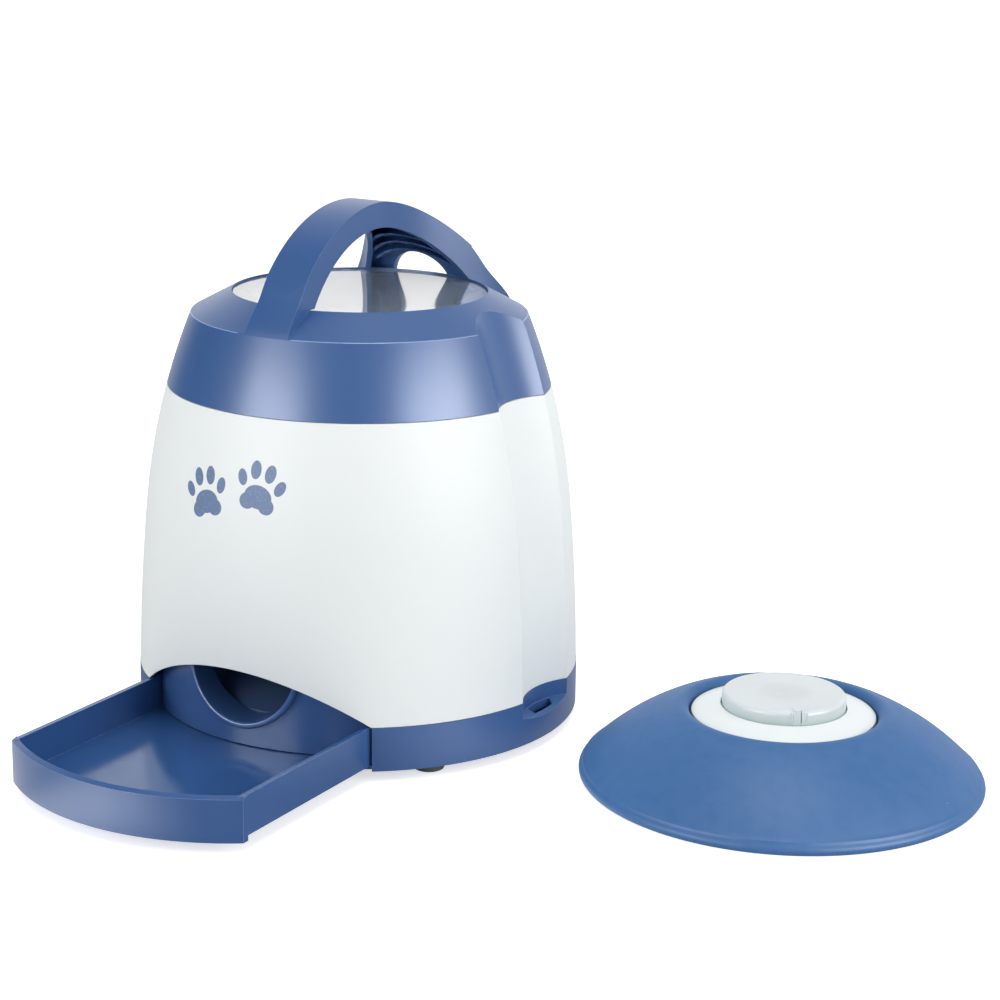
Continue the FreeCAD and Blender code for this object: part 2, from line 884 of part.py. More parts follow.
def drive_motor():
    can = along_x(motor_radius, case_outer_x, case_outer_x + motor_length, motor_y, rotor_height)
    flat = 0.82 * motor_radius
    limits = box(
        (0, motor_y - motor_radius, rotor_height - flat),
        (2 * ring_radius, motor_y + motor_radius, rotor_height + flat),
    )
    can = can.common(limits)
    boss = along_x(motor_boss_radius, case_inner_x + 0.3, case_outer_x + 1, motor_y, rotor_height)
    tail = along_x(
        motor_boss_radius,
        case_outer_x + motor_length - 1,
        case_outer_x + motor_length + 2,
        motor_y,
        rotor_height,
    )
    body = fused([can, boss, tail])
    return body.cut(
        along_x(
            motor_shaft_radius + shaft_gap, case_inner_x, case_outer_x + 3.3, motor_y, rotor_height
        )
    )


def index_cam():
    start = -housing_half_outer - cam_width - 3.5
    disc = along_x(cam_radius, start, start + cam_width, rotor_y, rotor_height)
    for index in range(cam_lobes):
        angle = 2 * math.pi * index / cam_lobes
        notch = along_x(
            cam_notch_radius,
            start - 1,
            start + cam_width + 1,
            rotor_y + cam_radius * math.cos(angle),
            rotor_height + cam_radius * math.sin(angle),
        )
        disc = disc.cut(notch)
    return disc.cut(
        along_x(shaft_radius + 0.02, start - 1, start + cam_width + 1, rotor_y, rotor_height)
    )


def position_switch():
    width, length, height = switch_body
    right = -housing_half_outer
    top = rotor_height - cam_radius - switch_lever_height - 0.4
    body = box(
        (right - width, rotor_y - length / 2, top - height), (right, rotor_y + length / 2, top)
    )
    lever = box(
        (right - width + 1.0, rotor_y - 1.0, top - 0.5),
        (right - width + 4.5, rotor_y + 1.0, top + switch_lever_height),
    )
    return fused([body, lever])


def hopper_form(radius, neck, low_shift):
    bottom = housing_top + hopper_neck_length + low_shift
    top = hopper_rim_height - hopper_straight + low_shift
    lower = Part.Wire([Part.makeCircle(neck, Vector(0, rotor_y, bottom))])
    upper = Part.Wire([Part.makeCircle(radius, Vector(0, 0, top))])
    return Part.makeLoft([lower, upper], True, True)


def hopper():
    cone_top = hopper_rim_height - hopper_straight
    neck_top = housing_top + hopper_neck_length
    outer = fused(
        [
            hopper_form(hopper_radius + hopper_wall, inlet_radius + hopper_wall, 0.0),
            upright(hopper_radius + hopper_wall, cone_top, hopper_rim_height),
            upright(inlet_radius + hopper_wall, housing_top, neck_top, 0, rotor_y),
        ]
    )
    flange_bottom = hopper_rim_height - hopper_wall
    flange = without(
        barrel_solid(flange_bottom, hopper_rim_height, wall + fit_gap), scoops(wall + fit_gap)
    )
    body = fused([outer, flange])
    rise = hopper_wall * 0.35
    body = body.cut(hopper_form(hopper_radius, inlet_radius, rise))
    body = body.cut(upright(hopper_radius, cone_top + rise, hopper_rim_height + 1))
    return body.cut(upright(inlet_radius, housing_top - 1, neck_top + rise, 0, rotor_y))


def battery_box():
    wall_x = battery_half_x + battery_wall
    wall_y = battery_half_y + battery_wall
    body = box(
        (-wall_x, cell_row_y - wall_y, base_top_of_plate),
        (wall_x, cell_row_y + wall_y, battery_top + battery_wall),
    )
    body = body.cut(
        box(
            (-battery_half_x, cell_row_y - battery_half_y, base_top_of_plate - 1),
            (battery_half_x, cell_row_y + battery_half_y, battery_top),
        )
    )
    posts = []
    for x in (-board_width / 2 + 5, board_width / 2 - 5):
        posts.append(upright(3.0, battery_top + battery_wall - 0.5, board_height, x, cell_row_y))
    return fused([body] + posts)


def cell_places():
    start = -(cell_count - 1) * cell_pitch / 2
    return [start + index * cell_pitch for index in range(cell_count)]


def battery_cells():
    cells = []
    for x in cell_places():
        can = upright(cell_radius, battery_floor, battery_floor + cell_length - 1.5, x, cell_row_y)
        stud = upright(3.0, battery_floor + cell_length - 2, battery_floor + cell_length, x, cell_row_y)
        cells.append(fused([can, stud]))
    return cells


def battery_contacts():
    contacts = []
    for x in cell_places():
        plate = box(
            (x - contact_half_width, cell_row_y - contact_half_width, battery_top - contact_plate),
            (x + contact_half_width, cell_row_y + contact_half_width, battery_top),
        )
        tip_bottom = battery_floor + cell_length + 0.1
        tip = upright(contact_tip_radius, tip_bottom, battery_top - contact_plate / 2, x, cell_row_y)
        contacts.append(fused([plate, tip]))
    return contacts


def battery_door():
    half_x = battery_half_x - door_gap
    half_y = battery_half_y - door_gap
    edge = door_plate / 2
    low = foot_height + 0.1
    plate = box(
        (-half_x, cell_row_y - half_y, low), (half_x, cell_row_y + half_y - edge, low + door_plate)
    )
    barrel = along_x(edge, -half_x, half_x, cell_row_y + half_y - edge, low + edge)
    plates = []
    for first, second in ((0, 1), (2, 3)):
        places = cell_places()
        plates.append(
            box(
                (places[first] - 5, cell_row_y - 5, low + door_plate - 0.2),
                (places[second] + 5, cell_row_y + 5, battery_floor - 0.2),
            )
        )
    return fused([plate, barrel] + plates)


def control_board():
    return box(
        (-board_width / 2, cell_row_y - board_depth / 2, board_height),
        (board_width / 2, cell_row_y + board_depth / 2, board_height + board_plate),
    )


def board_components():
    top = board_height + board_plate
    parts = []
    for x, y, width, depth, height in board_chips:
        parts.append(
            box(
                (x - width / 2, cell_row_y + y - depth / 2, top),
                (x + width / 2, cell_row_y + y + depth / 2, top + height),
            )
        )
    y = cell_row_y - capacitor_offset
    for x in capacitor_places:
        parts.append(upright(capacitor_radius, top, top + capacitor_height, x, y))
    return parts


def receiver_module():
    top = board_height + board_plate
    y = cell_row_y + board_depth / 2 - 3.0
    return box(
        (-receiver_width / 2 - 4, y, top), (receiver_width / 2 - 4, y + board_plate, top + receiver_height)
    )


def speaker():
    x = (bay_half_width + guide_wall + barrel_radius(scoop_floor_height, wall)) / 2
    low = base_top_of_plate
    body = upright(speaker_radius, low, low + speaker_height, x, 0)
    cone = Part.makeCone(4.0, speaker_radius - 2.0, 2.0, Vector(x, 0, low + speaker_height - 2.0))
    return body.cut(cone)


def power_switch_housing():
    width, length, height = power_switch_body
    middle = power_switch_y + (power_knob_length + power_switch_travel) / 2
    low = base_top_of_plate + 1.6
    body = box(
        (power_switch_x - width / 2, middle - length / 2, low - 1.6),
        (power_switch_x + width / 2, middle + length / 2, low + height),
    )
    track = box(
        (
            power_switch_x - power_knob_width / 2 - 0.3,
            power_switch_y - 0.3,
            low - 2.6,
        ),
        (
            power_switch_x + power_knob_width / 2 + 0.3,
            power_switch_y + power_knob_length + power_switch_travel + 0.3,
            low + 2.3,
        ),
    )
    return body.cut(track)


def power_switch_knob():
    return box(
        (power_switch_x - power_knob_width / 2, power_switch_y, foot_height - power_knob_stand),
        (
            power_switch_x + power_knob_width / 2,
            power_switch_y + power_knob_length,
            base_top_of_plate + 3.5,
        ),
    )


def treat_drawer():
    # Two side walls and a floor, closed in front by a curved wall that matches the ring
    rim = ring_top
    half = drawer_half_width
    front_half = half + drawer_front_overlap
    body = box((-half, -2 * ring_radius, drawer_underside), (half, drawer_rear_y, rim))
    body = body.cut(
        box(
            (-half + drawer_wall, -2 * ring_radius - 1, drawer_underside + drawer_floor),
            (half - drawer_wall, drawer_rear_y + 1, rim + 1),
        )
    )
    reach = upright(ring_radius - drawer_front_wall / 2, 0, rim + 1, 0, -drawer_travel)
    inner_reach = upright(ring_radius - drawer_front_wall, 0, rim + 2, 0, -drawer_travel)
    behind = box((-2 * ring_radius, -drawer_travel, 0), (2 * ring_radius, ring_radius, rim + 2))
    body = body.common(fused([reach, behind]))
    front = upright(ring_radius, foot_height + 0.2, rim, 0, -drawer_travel).cut(inner_reach)
    front = front.common(box((-front_half, -2 * ring_radius, 0), (front_half, -drawer_travel, rim + 1)))
    return fused([body, front])


def lid_form(inset):
    # Barrel outline, shoulder, sloped collar and flat top, turned about the axis
    slope_run = barrel_radius(shoulder_height) - rim_radius
    slope_rise = rim_height - shoulder_height
    slope_length = math.hypot(slope_run, slope_rise)
    top_shift = inset * slope_length / slope_run
    corner_height = shoulder_height - inset * (slope_length - slope_rise * 0.4) / slope_run * 0.9
    low = lid_seam_height - (1.0 if inset else 0.0)
    corner = (barrel_radius(corner_height, inset), 0, corner_height)
    rim = (rim_radius, 0, rim_height - top_shift)
    edges = barrel_edges(low, corner_height, inset)
    edges.append(line(corner, rim))
    edges.append(line(rim, (0, 0, rim[2])))
    edges.append(line((0, 0, rim[2]), (0, 0, low)))
    edges.append(line((0, 0, low), (barrel_radius(low, inset), 0, low)))
    return turned(face_of(edges))


def handle_point(radius, apex, sign, height):
    centre = apex - radius
    return (0, sign * math.sqrt(radius ** 2 - (height - centre) ** 2), height)


def handle_band(outer_inset, inner_inset):
    # Side view of the handle: a steep front arc and a tighter rear arc share their top
    apex = handle_apex - outer_inset
    under = handle_apex - handle_thickness + inner_inset
    front_outer = handle_front_outer - outer_inset
    rear_outer = handle_rear_outer - outer_inset
    front_inner = handle_front_inner + inner_inset
    rear_inner = handle_rear_inner + inner_inset
    low = handle_root_height
    corners = [
        handle_point(front_outer, apex, -1, low),
        handle_point(rear_outer, apex, 1, low),
        handle_point(rear_inner, under, 1, low),
        handle_point(front_inner, under, -1, low),
    ]
    middle = low + 0.6 * (apex - low)
    edges = [
        arc(corners[0], handle_point(front_outer, apex, -1, middle), (0, 0, apex)),
        arc((0, 0, apex), handle_point(rear_outer, apex, 1, middle), corners[1]),
        line(corners[1], corners[2]),
        arc(corners[2], handle_point(rear_inner, under, 1, middle), (0, 0, under)),
        arc((0, 0, under), handle_point(front_inner, under, -1, middle), corners[3]),
        line(corners[3], corners[0]),
    ]
    band = face_of(edges).extrude(Vector(2 * rim_radius, 0, 0))
    band.translate(Vector(-rim_radius, 0, 0))
    return band


def handle_plan(inset):
    # Plan view: narrow over the front and middle, flared towards the rear feet
    radius = handle_flare_radius + inset
    waist = handle_waist - inset
    front = handle_front_half_width - inset
    reach = handle_rear_reach
    low = handle_root_height - 1

    def flare(y):
        return waist + radius - math.sqrt(radius ** 2 - y ** 2)

    edges = [
        line((-front, -handle_front_reach, low), (front, -handle_front_reach, low)),
        line((front, -handle_front_reach, low), (waist, 0, low)),
        arc((waist, 0, low), (flare(reach / 2), reach / 2, low), (flare(reach), reach, low)),
        line((flare(reach), reach, low), (-flare(reach), reach, low)),
        arc((-flare(reach), reach, low), (-flare(reach / 2), reach / 2, low), (-waist, 0, low)),
        line((-waist, 0, low), (-front, -handle_front_reach, low)),
    ]
    return face_of(edges).extrude(Vector(0, 0, handle_apex - low + 2))


def handle_foot():
    # The front foot widens and runs out into the wall at the shoulder
    crease = barrel_radius(shoulder_height)
    low = handle_root_height
    meet = handle_point(
        handle_front_outer, handle_apex, -1, shoulder_height + handle_foot_rise
    )
    behind = meet[1] + handle_skin
    side = polygon_face(
        [
            (-rim_radius, -crease, low),
            (-rim_radius, -crease, shoulder_height),
            (-rim_radius, meet[1], meet[2]),
            (-rim_radius, behind, meet[2]),
            (-rim_radius, behind, low),
        ]
    ).extrude(Vector(2 * rim_radius, 0, 0))
    run = crease - handle_foot_flare_start
    flare = handle_foot_half_width - handle_front_half_width
    radius = (run ** 2 + flare ** 2) / (2 * flare)
    half = handle_front_half_width
    middle = half + radius - math.sqrt(radius ** 2 - run ** 2 / 4)
    wide = handle_foot_half_width
    start, halfway = -handle_foot_flare_start, -handle_foot_flare_start - run / 2
    edges = [
        arc((half, start, low), (middle, halfway, low), (wide, -crease, low)),
        line((wide, -crease, low), (-wide, -crease, low)),
        arc((-wide, -crease, low), (-middle, halfway, low), (-half, start, low)),
        line((-half, start, low), (half, start, low)),
    ]
    plan = face_of(edges).extrude(Vector(0, 0, handle_apex - low))
    return side.common(plan).common(barrel_solid(low, shoulder_height + handle_foot_rise + 1))


def handle():
    body = handle_band(0, 0).common(handle_plan(0))
    hollow = handle_band(handle_skin, -2.0).common(handle_plan(handle_skin))
    body = body.cut(hollow)
    ribs = []
    rib_band = handle_band(handle_skin / 2, handle_rib_recess)
    for index in (-1, 0, 1):
        middle = index * handle_rib_pitch
        slab = box(
            (middle - handle_rib / 2, -handle_front_reach, rim_height + 4),
            (middle + handle_rib / 2, handle_rear_reach, handle_apex),
        )
        ribs.append(rib_band.common(slab))
    body = fused([body] + ribs)
    spring_line = handle_arch_top - handle_arch_radius
    gate = fused(
        [
            along_y(handle_arch_radius, 30, 2 * rim_radius, 0, spring_line),
            box(
                (-handle_arch_radius, 30, handle_root_height - 1),
                (handle_arch_radius, 2 * rim_radius, spring_line),
            ),
        ]
    )
    return body.cut(gate)


def lid_cover():
    collar_radius = rim_radius + wall
    ledge_bottom = ledge_top - 2.2
    cover = fused([lid_form(0.0), handle(), handle_foot()])
    inner = lid_form(wall)
    inner = inner.cut(
        upright(collar_radius, ledge_bottom, rim_height).cut(
            upright(rim_radius - window_ledge, ledge_bottom - 1, rim_height)
        )
    )
    cover = without(cover, scoops())
    cover = cover.cut(without(inner, scoops(wall)))
    cover = cover.cut(upright(rim_radius, ledge_top, rim_height))
    cover = cover.cut(upright(rim_radius - window_ledge, ledge_bottom - 1, rim_height))
    # Spigot that drops inside the shell
    low = lid_seam_height - spigot_depth
    high = lid_seam_height + 4.0
    ring = without(
        barrel_solid(low, high, wall + fit_gap), scoops(wall + fit_gap)
    )
    bore = without(
        barrel_solid(low - 1, high + 1, wall + fit_gap + spigot_wall),
        scoops(wall + fit_gap + spigot_wall),
    )
    spigot = ring.cut(bore)
    bridge_ring = without(barrel_solid(lid_seam_height + 1.0, high, wall / 2), scoops(wall / 2))
    bridge = bridge_ring.cut(bore)
    return fused([cover, bridge, spigot])


def lid_window():
    return upright(rim_radius - window_gap, window_bottom, window_top)


def window_gasket():
    outer = rim_radius - 0.8
    inner = rim_radius - window_ledge + 0.6
    ring = upright(outer, ledge_top, window_bottom)
    return ring.cut(upright(inner, ledge_top - 1, window_bottom + 1))


def button_skirt():
    # Soft dome: flat foot, rounded rim, one long arc up to a rolled lip round the hole
    def at(radius, height):
        return (button_x + radius, button_y, height)

    foot_inner = skirt_foot_radius - skirt_foot_width
    start, middle, end = skirt_dome_start, skirt_dome_middle, skirt_dome_end
    t = skirt_wall
    hole = skirt_hole_radius
    seat = plate_edge_height - plate_thickness - 3.0
    edges = [
        line(at(foot_inner, 0), at(skirt_foot_radius, 0)),
        arc(at(skirt_foot_radius, 0), at(skirt_radius, start[1] * 0.45), at(*start)),
        arc(at(*start), at(*middle), at(*end)),
        arc(at(*end), at(skirt_lip_radius + 2.2, skirt_lip_height - 0.5), at(skirt_lip_radius, skirt_lip_height)),
        arc(at(skirt_lip_radius, skirt_lip_height), at(hole + 0.8, skirt_lip_height - 0.6), at(hole, skirt_lip_height - 2.2)),
        line(at(hole, skirt_lip_height - 2.2), at(hole, seat)),
        line(at(hole, seat), at(end[0] - t, seat)),
        arc(at(end[0] - t, seat), at(middle[0] - t * 0.9, middle[1] - t), at(foot_inner, 0)),
    ]
    return turned(face_of(edges), button_x, button_y)


def hub_seat_height():
    return plate_edge_height - plate_thickness - 3.0


def button_hub():
    top = plate_edge_height - plate_thickness - fit_gap
    flange_top = hub_seat_height() - fit_gap
    x, y = button_x, button_y
    body = upright(hub_radius, hub_floor_height, top, x, y)
    body = body.cut(upright(hub_radius - hub_wall, hub_floor_height + hub_wall, top + 1, x, y))
    flange = upright(hub_flange_radius, flange_top - hub_flange, flange_top, x, y)
    flange = flange.cut(upright(hub_radius - 0.5, flange_top - hub_flange - 1, flange_top + 1, x, y))
    floor_disc = upright(hub_base_radius, hub_floor_height, hub_floor_height + hub_wall, x, y)
    body = fused([body, flange, floor_disc])
    for px, py in button_screw_places():
        post = upright(2.6, hub_floor_height + 1, button_board_height, px, py)
        body = fused([body, post])
    for px, py in button_screw_places():
        low = button_board_height - small_screw_bite - 1
        body = body.cut(upright(small_screw_radius + 0.05, low, button_board_height + 1, px, py))
    return body.cut(
        upright(cell_cover_radius + cell_cover_gap, hub_floor_height - 1, hub_floor_height + hub_wall + 1, x, y)
    )


def button_screw_places():
    reach = (cell_cover_radius + button_board_radius) / 2 + 0.5
    places = []
    for angle in (30, 150, 270):
        turn = math.radians(angle)
        places.append((button_x + reach * math.cos(turn), button_y + reach * math.sin(turn)))
    return places


def button_screws():
    screws = []
    for x, y in button_screw_places():
        low = button_board_height - small_screw_bite
        shank = upright(small_screw_radius, low, board_top + 0.2, x, y)
        head = upright(small_head_radius, board_top + 0.1, board_top + 0.1 + small_head_height, x, y)
        screws.append(fused([shank, head]))
    return screws


def button_board():
    board = upright(button_board_radius, button_board_height, board_top, button_x, button_y)
    for x, y in button_screw_places():
        hole = small_screw_radius + 0.25
        board = board.cut(upright(hole, button_board_height - 1, board_top + 1, x, y))
    return board


def button_top_plate():
    def at(radius, height):
        return (button_x + radius, button_y, height)

    inner = cap_radius + cap_gap
    outer = skirt_hole_radius - plate_gap
    middle = (inner + outer) / 2
    middle_height = plate_edge_height + 0.62 * (plate_centre_height - plate_edge_height)
    t = plate_thickness
    edges = [
        line(at(inner, plate_centre_height - t), at(inner, plate_centre_height)),
        arc(at(inner, plate_centre_height), at(middle, middle_height), at(outer, plate_edge_height)),
        line(at(outer, plate_edge_height), at(outer, plate_edge_height - t)),
        arc(at(outer, plate_edge_height - t), at(middle, middle_height - t), at(inner, plate_centre_height - t)),
    ]
    return turned(face_of(edges), button_x, button_y)


def button_cap():
    x, y = button_x, button_y
    body = upright(cap_radius, cap_flange_top - cap_flange, cap_top_height, x, y)
    top_edges = [
        edge for edge in body.Edges if abs(edge.BoundBox.ZMin - cap_top_height) < 0.01 and edge.Closed
    ]
    body = body.makeFillet(cap_edge_round, top_edges)
    flange = upright(cap_radius + 2.2, cap_flange_top - cap_flange, cap_flange_top, x, y)
    body = fused([body, flange])
    return body.cut(
        upright(cap_radius - cap_wall, cap_flange_top - cap_flange - 1, cap_inside_top, x, y)
    )


def cap_plunger():
    stem = upright(plunger_radius, plunger_bottom, cap_inside_top, button_x, button_y)
    head = upright(plunger_radius + 6.0, cap_inside_top - 1.5, cap_inside_top, button_x, button_y)
    return fused([stem, head])


def return_spring():
    # Wire wound on a helix, standing on the board and carrying the plunger's head
    low = board_top + spring_wire / 2 + 0.2
    high = cap_inside_top - 1.5 - spring_wire / 2 - 0.2
    pitch = (high - low) / spring_turns
    helix = Part.makeHelix(pitch, high - low, spring_radius)
    helix.translate(Vector(button_x, button_y, low))
    ring = Part.makeCircle(
        spring_wire / 2, Vector(button_x + spring_radius, button_y, low), Vector(0, 1, 0)
    )
    return Part.Wire(helix).makePipeShell([Part.Wire([ring])], True, True)


def tact_switch():
    half = tact_width / 2
    body = box(
        (button_x - half, button_y - half, board_top),
        (button_x + half, button_y + half, board_top + tact_height - 0.6),
    )
    stem = upright(1.7, board_top + tact_height - 1.0, board_top + tact_height, button_x, button_y)
    return fused([body, stem])


def button_leds():
    leds = []
    for index in range(led_count):
        turn = 2 * math.pi * (index + 0.5) / led_count
        x = button_x + led_ring_radius * math.cos(turn)
        y = button_y + led_ring_radius * math.sin(turn)
        leds.append(upright(led_radius, board_top, board_top + led_height, x, y))
    return leds


def small_cells():
    cells = []
    low = hub_floor_height + hub_wall + 0.4
    for side in (-1, 1):
        y = button_y + side * small_cell_pitch / 2
        z = low + small_cell_radius
        can = along_x(
            small_cell_radius,
            button_x - small_cell_length / 2,
            button_x + small_cell_length / 2 - 1.0,
            y,
            z,
        )
        stud = along_x(
            1.9, button_x + small_cell_length / 2 - 1.5, button_x + small_cell_length / 2, y, z
        )
        cells.append(fused([can, stud]))
    return cells


def small_contacts():
    low = hub_floor_height + hub_wall + 1.0
    contacts = []
    for side in (-1, 1):
        inner = button_x + side * (small_cell_length / 2 + 0.2)
        outer = inner + side * small_contact_plate
        contacts.append(
            box(
                (min(inner, outer), button_y - small_contact_half_width, low),
                (max(inner, outer), button_y + small_contact_half_width, button_board_height),
            )
        )
    return contacts


def cell_cover():
    disc = upright(
        cell_cover_radius, hub_floor_height, hub_floor_height + hub_wall, button_x, button_y
    )
    slot = box(
        (button_x - 9.0, button_y - 1.2, hub_floor_height - 1),
        (button_x + 9.0, button_y + 1.2, hub_floor_height + 1.0),
    )
    return disc.cut(slot)


nodes = {
    "base_housing": base_housing,
    "rubber_feet": rubber_feet,
    "case_screws": case_screws,
    "outer_shell": outer_shell,
    "chute_panel": chute_panel,
    "chute_duct": chute_duct,
    "mechanism_deck": mechanism_deck,
    "rotor_housing": rotor_housing,
    "gear_plate": gear_plate,
    "gearbox_case": gearbox_case,
    "gearbox_screws": gearbox_screws,
    "mechanism_screws": mechanism_screws,
    "shaft_bushes": shaft_bushes,
    "rotor_shaft": rotor_shaft,
    "dosing_rotor": dosing_rotor,
    "rotor_gear": rotor_gear,
    "idler_gear": idler_gear,
    "idler_pin": idler_pin,
    "motor_pinion": motor_pinion,
    "motor_shaft": motor_shaft,
    "drive_motor": drive_motor,
    "index_cam": index_cam,
    "position_switch": position_switch,
    "hopper": hopper,
    "battery_box": battery_box,
    "battery_cells": battery_cells,
    "battery_contacts": battery_contacts,
    "battery_door": battery_door,
    "control_board": control_board,
    "board_components": board_components,
    "receiver_module": receiver_module,
    "speaker": speaker,
    "power_switch_housing": power_switch_housing,
    "power_switch_knob": power_switch_knob,
    "treat_drawer": treat_drawer,
    "lid_cover": lid_cover,
    "lid_window": lid_window,
    "window_gasket": window_gasket,
    "button_skirt": button_skirt,
    "button_hub": button_hub,
    "button_top_plate": button_top_plate,
    "button_cap": button_cap,
    "cap_plunger": cap_plunger,
    "return_spring": return_spring,
    "tact_switch": tact_switch,
    "button_board": button_board,
    "button_leds": button_leds,
    "button_screws": button_screws,
    "small_cells": small_cells,
    "small_contacts": small_contacts,
    "cell_cover": cell_cover,
}

os.makedirs("parts", exist_ok=True)
for name, make in nodes.items():
    made = make()
    shape = Part.makeCompound(made) if isinstance(made, list) else made
    solids = shape.Solids
    if len(solids) == 1:
        shape = solids[0]
    shape.exportStep(f"parts/{name}.step")
    bounds = shape.BoundBox
    print(
        f"{name}: {len(solids)} solid(s), valid {shape.isValid()}, {shape.Volume / 1000:.2f} cm3,"
        f" x {bounds.XMin:.1f}..{bounds.XMax:.1f} y {bounds.YMin:.1f}..{bounds.YMax:.1f}"
        f" z {bounds.ZMin:.1f}..{bounds.ZMax:.1f}"
    )
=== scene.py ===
from math import asin, ceil, cos, hypot, pi, radians, sin, sqrt, tan

import bpy
from mathutils import Matrix, Vector


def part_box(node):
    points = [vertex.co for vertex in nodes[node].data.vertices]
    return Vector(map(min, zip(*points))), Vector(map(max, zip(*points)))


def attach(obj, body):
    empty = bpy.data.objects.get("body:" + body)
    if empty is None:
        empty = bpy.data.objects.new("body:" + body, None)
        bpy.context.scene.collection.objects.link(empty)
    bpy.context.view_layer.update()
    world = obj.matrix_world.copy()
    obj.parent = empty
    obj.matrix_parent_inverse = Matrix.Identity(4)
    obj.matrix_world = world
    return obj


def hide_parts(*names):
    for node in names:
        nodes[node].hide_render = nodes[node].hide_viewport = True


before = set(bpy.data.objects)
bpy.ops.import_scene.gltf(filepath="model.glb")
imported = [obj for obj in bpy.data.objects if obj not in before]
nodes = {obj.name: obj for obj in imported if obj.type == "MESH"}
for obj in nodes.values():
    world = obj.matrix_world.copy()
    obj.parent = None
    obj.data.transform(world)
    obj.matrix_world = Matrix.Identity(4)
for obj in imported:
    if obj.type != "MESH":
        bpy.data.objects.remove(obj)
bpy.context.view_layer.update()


# Camera: at the photograph's place, a long lens looking down a little from the right front
eye = Vector((0.59154, -0.90306, 0.39137))
forward = Vector((-0.479127, 0.838250, -0.260333))
upward = Vector((-0.144431, 0.217258, 0.965370))
rightward = forward.cross(upward)
camera_data = bpy.data.cameras.new("camera")
camera_data.lens = 86.08
camera_data.sensor_width = 36
camera = bpy.data.objects.new("camera", camera_data)
bpy.context.scene.collection.objects.link(camera)
camera.matrix_world = Matrix(
    (
        (rightward.x, upward.x, -forward.x, eye.x),
        (rightward.y, upward.y, -forward.y, eye.y),
        (rightward.z, upward.z, -forward.z, eye.z),
        (0, 0, 0, 1),
    )
)
bpy.context.scene.camera = camera
bpy.context.scene.view_settings.view_transform = "Standard"


# Studio: a white room with three soft lamps that light the product evenly and three softboxes
# that are only seen as reflections, for the long upright highlights of the satin plastic
def link(tree, source, target):
    tree.links.new(source, target)


def fill(node, values):
    # Plain values for the named sockets of a node
    for label, value in values.items():
        node.inputs[label].default_value = value


def feed(tree, value, socket):
    # A socket is fed by another socket or given a plain value
    if isinstance(value, bpy.types.NodeSocket):
        link(tree, value, socket)
    else:
        socket.default_value = value


def calc(tree, operation, first, second=0.0, third=0.0):
    node = tree.nodes.new("ShaderNodeMath")
    node.operation = operation
    for value, socket in zip((first, second, third), node.inputs):
        feed(tree, value, socket)
    return node.outputs[0]


def span(tree, value, from_low, from_high, to_low=0.0, to_high=1.0, course="SMOOTHSTEP"):
    # A ramp between two values, smooth at both ends
    node = tree.nodes.new("ShaderNodeMapRange")
    node.interpolation_type = course
    feed(tree, value, node.inputs["Value"])
    ends = zip(("From Min", "From Max", "To Min", "To Max"), (from_low, from_high, to_low, to_high))
    for label, number in ends:
        feed(tree, number, node.inputs[label])
    return node.outputs["Result"]


def axes_of(tree, direction):
    node = tree.nodes.new("ShaderNodeSeparateXYZ")
    link(tree, direction, node.inputs[0])
    return node.outputs


def place_of(tree):
    return tree.nodes.new("ShaderNodeTexCoord").outputs["Object"]


def softbox(name, spot, aim, width, height, watts):
    data = bpy.data.lights.new(name, "AREA")
    data.shape = "RECTANGLE"
    data.size = width
    data.size_y = height
    data.energy = watts
    data.color = (1.0, 0.995, 0.985)
    lamp = bpy.data.objects.new(name, data)
    bpy.context.scene.collection.objects.link(lamp)
    lamp.location = spot
    lamp.rotation_euler = (Vector(aim) - Vector(spot)).to_track_quat("-Z", "Y").to_euler()
    return lamp


def around(azimuth, distance, height):
    turn = radians(azimuth)
    return (distance * sin(turn), -distance * cos(turn), height)


for name, spot, aim, width, height, watts, mirrored in (
    ("fill_left", around(-24, 1.7, 0.70), (0, 0, 0.1), 1.1, 0.9, 11, False),
    ("fill_right", around(96, 1.7, 0.70), (0, 0, 0.1), 1.0, 0.9, 12, False),
    ("overhead", (0.1, 0.1, 1.9), (0.1, 0, 0), 1.6, 1.4, 13.5, False),
    ("highlight_left", around(-19, 1.7, 0.48), (0, 0, 0.15), 1.1, 0.70, 33, True),
    ("highlight_right", around(80, 1.6, 0.50), (0, 0, 0.15), 1.25, 0.75, 44, True),
    ("highlight_top", (0.33, -0.16, 1.6), (0.25, -0.04, 0), 0.5, 0.5, 10, True),
):
    lamp = softbox(name, spot, aim, width, height, watts)
    lamp.visible_diffuse = not mirrored
    lamp.visible_glossy = mirrored


def bearing_of(tree, direction):
    # The angle round the product: 0 is its front, a quarter turn its right side
    x, y, z = axes_of(tree, direction)
    return calc(tree, "ARCTAN2", x, calc(tree, "MULTIPLY", y, -1))


def by_azimuth(tree, direction, stops):
    # Brightness by the bearing in degrees round the product
    ramp = tree.nodes.new("ShaderNodeValToRGB")
    share = calc(tree, "MULTIPLY_ADD", bearing_of(tree, direction), 0.5 / pi, 0.5)
    link(tree, share, ramp.inputs[0])
    points = ramp.color_ramp.elements
    for i, (degrees, value) in enumerate(stops):
        stop = points[i] if i < 2 else points.new(1.0)
        stop.position = (degrees + 180) / 360
        stop.color = (value, value, value, 1)
    return ramp.outputs[0]


def mixed(tree, share, first, second):
    node = tree.nodes.new("ShaderNodeMixShader")
    for source, socket in zip((share, first, second), node.inputs):
        link(tree, source, socket)
    return node.outputs[0]


world = bpy.data.worlds.new("white_room")
bpy.context.scene.world = world
world.use_nodes = True
sky = world.node_tree
sky.nodes.clear()
rays = sky.nodes.new("ShaderNodeLightPath").outputs
seen = calc(sky, "MAXIMUM", rays["Is Camera Ray"], rays["Is Transmission Ray"])
room = sky.nodes.new("ShaderNodeBackground")
fill(room, {"Color": (0.95, 0.97, 1.0, 1), "Strength": 0.51})
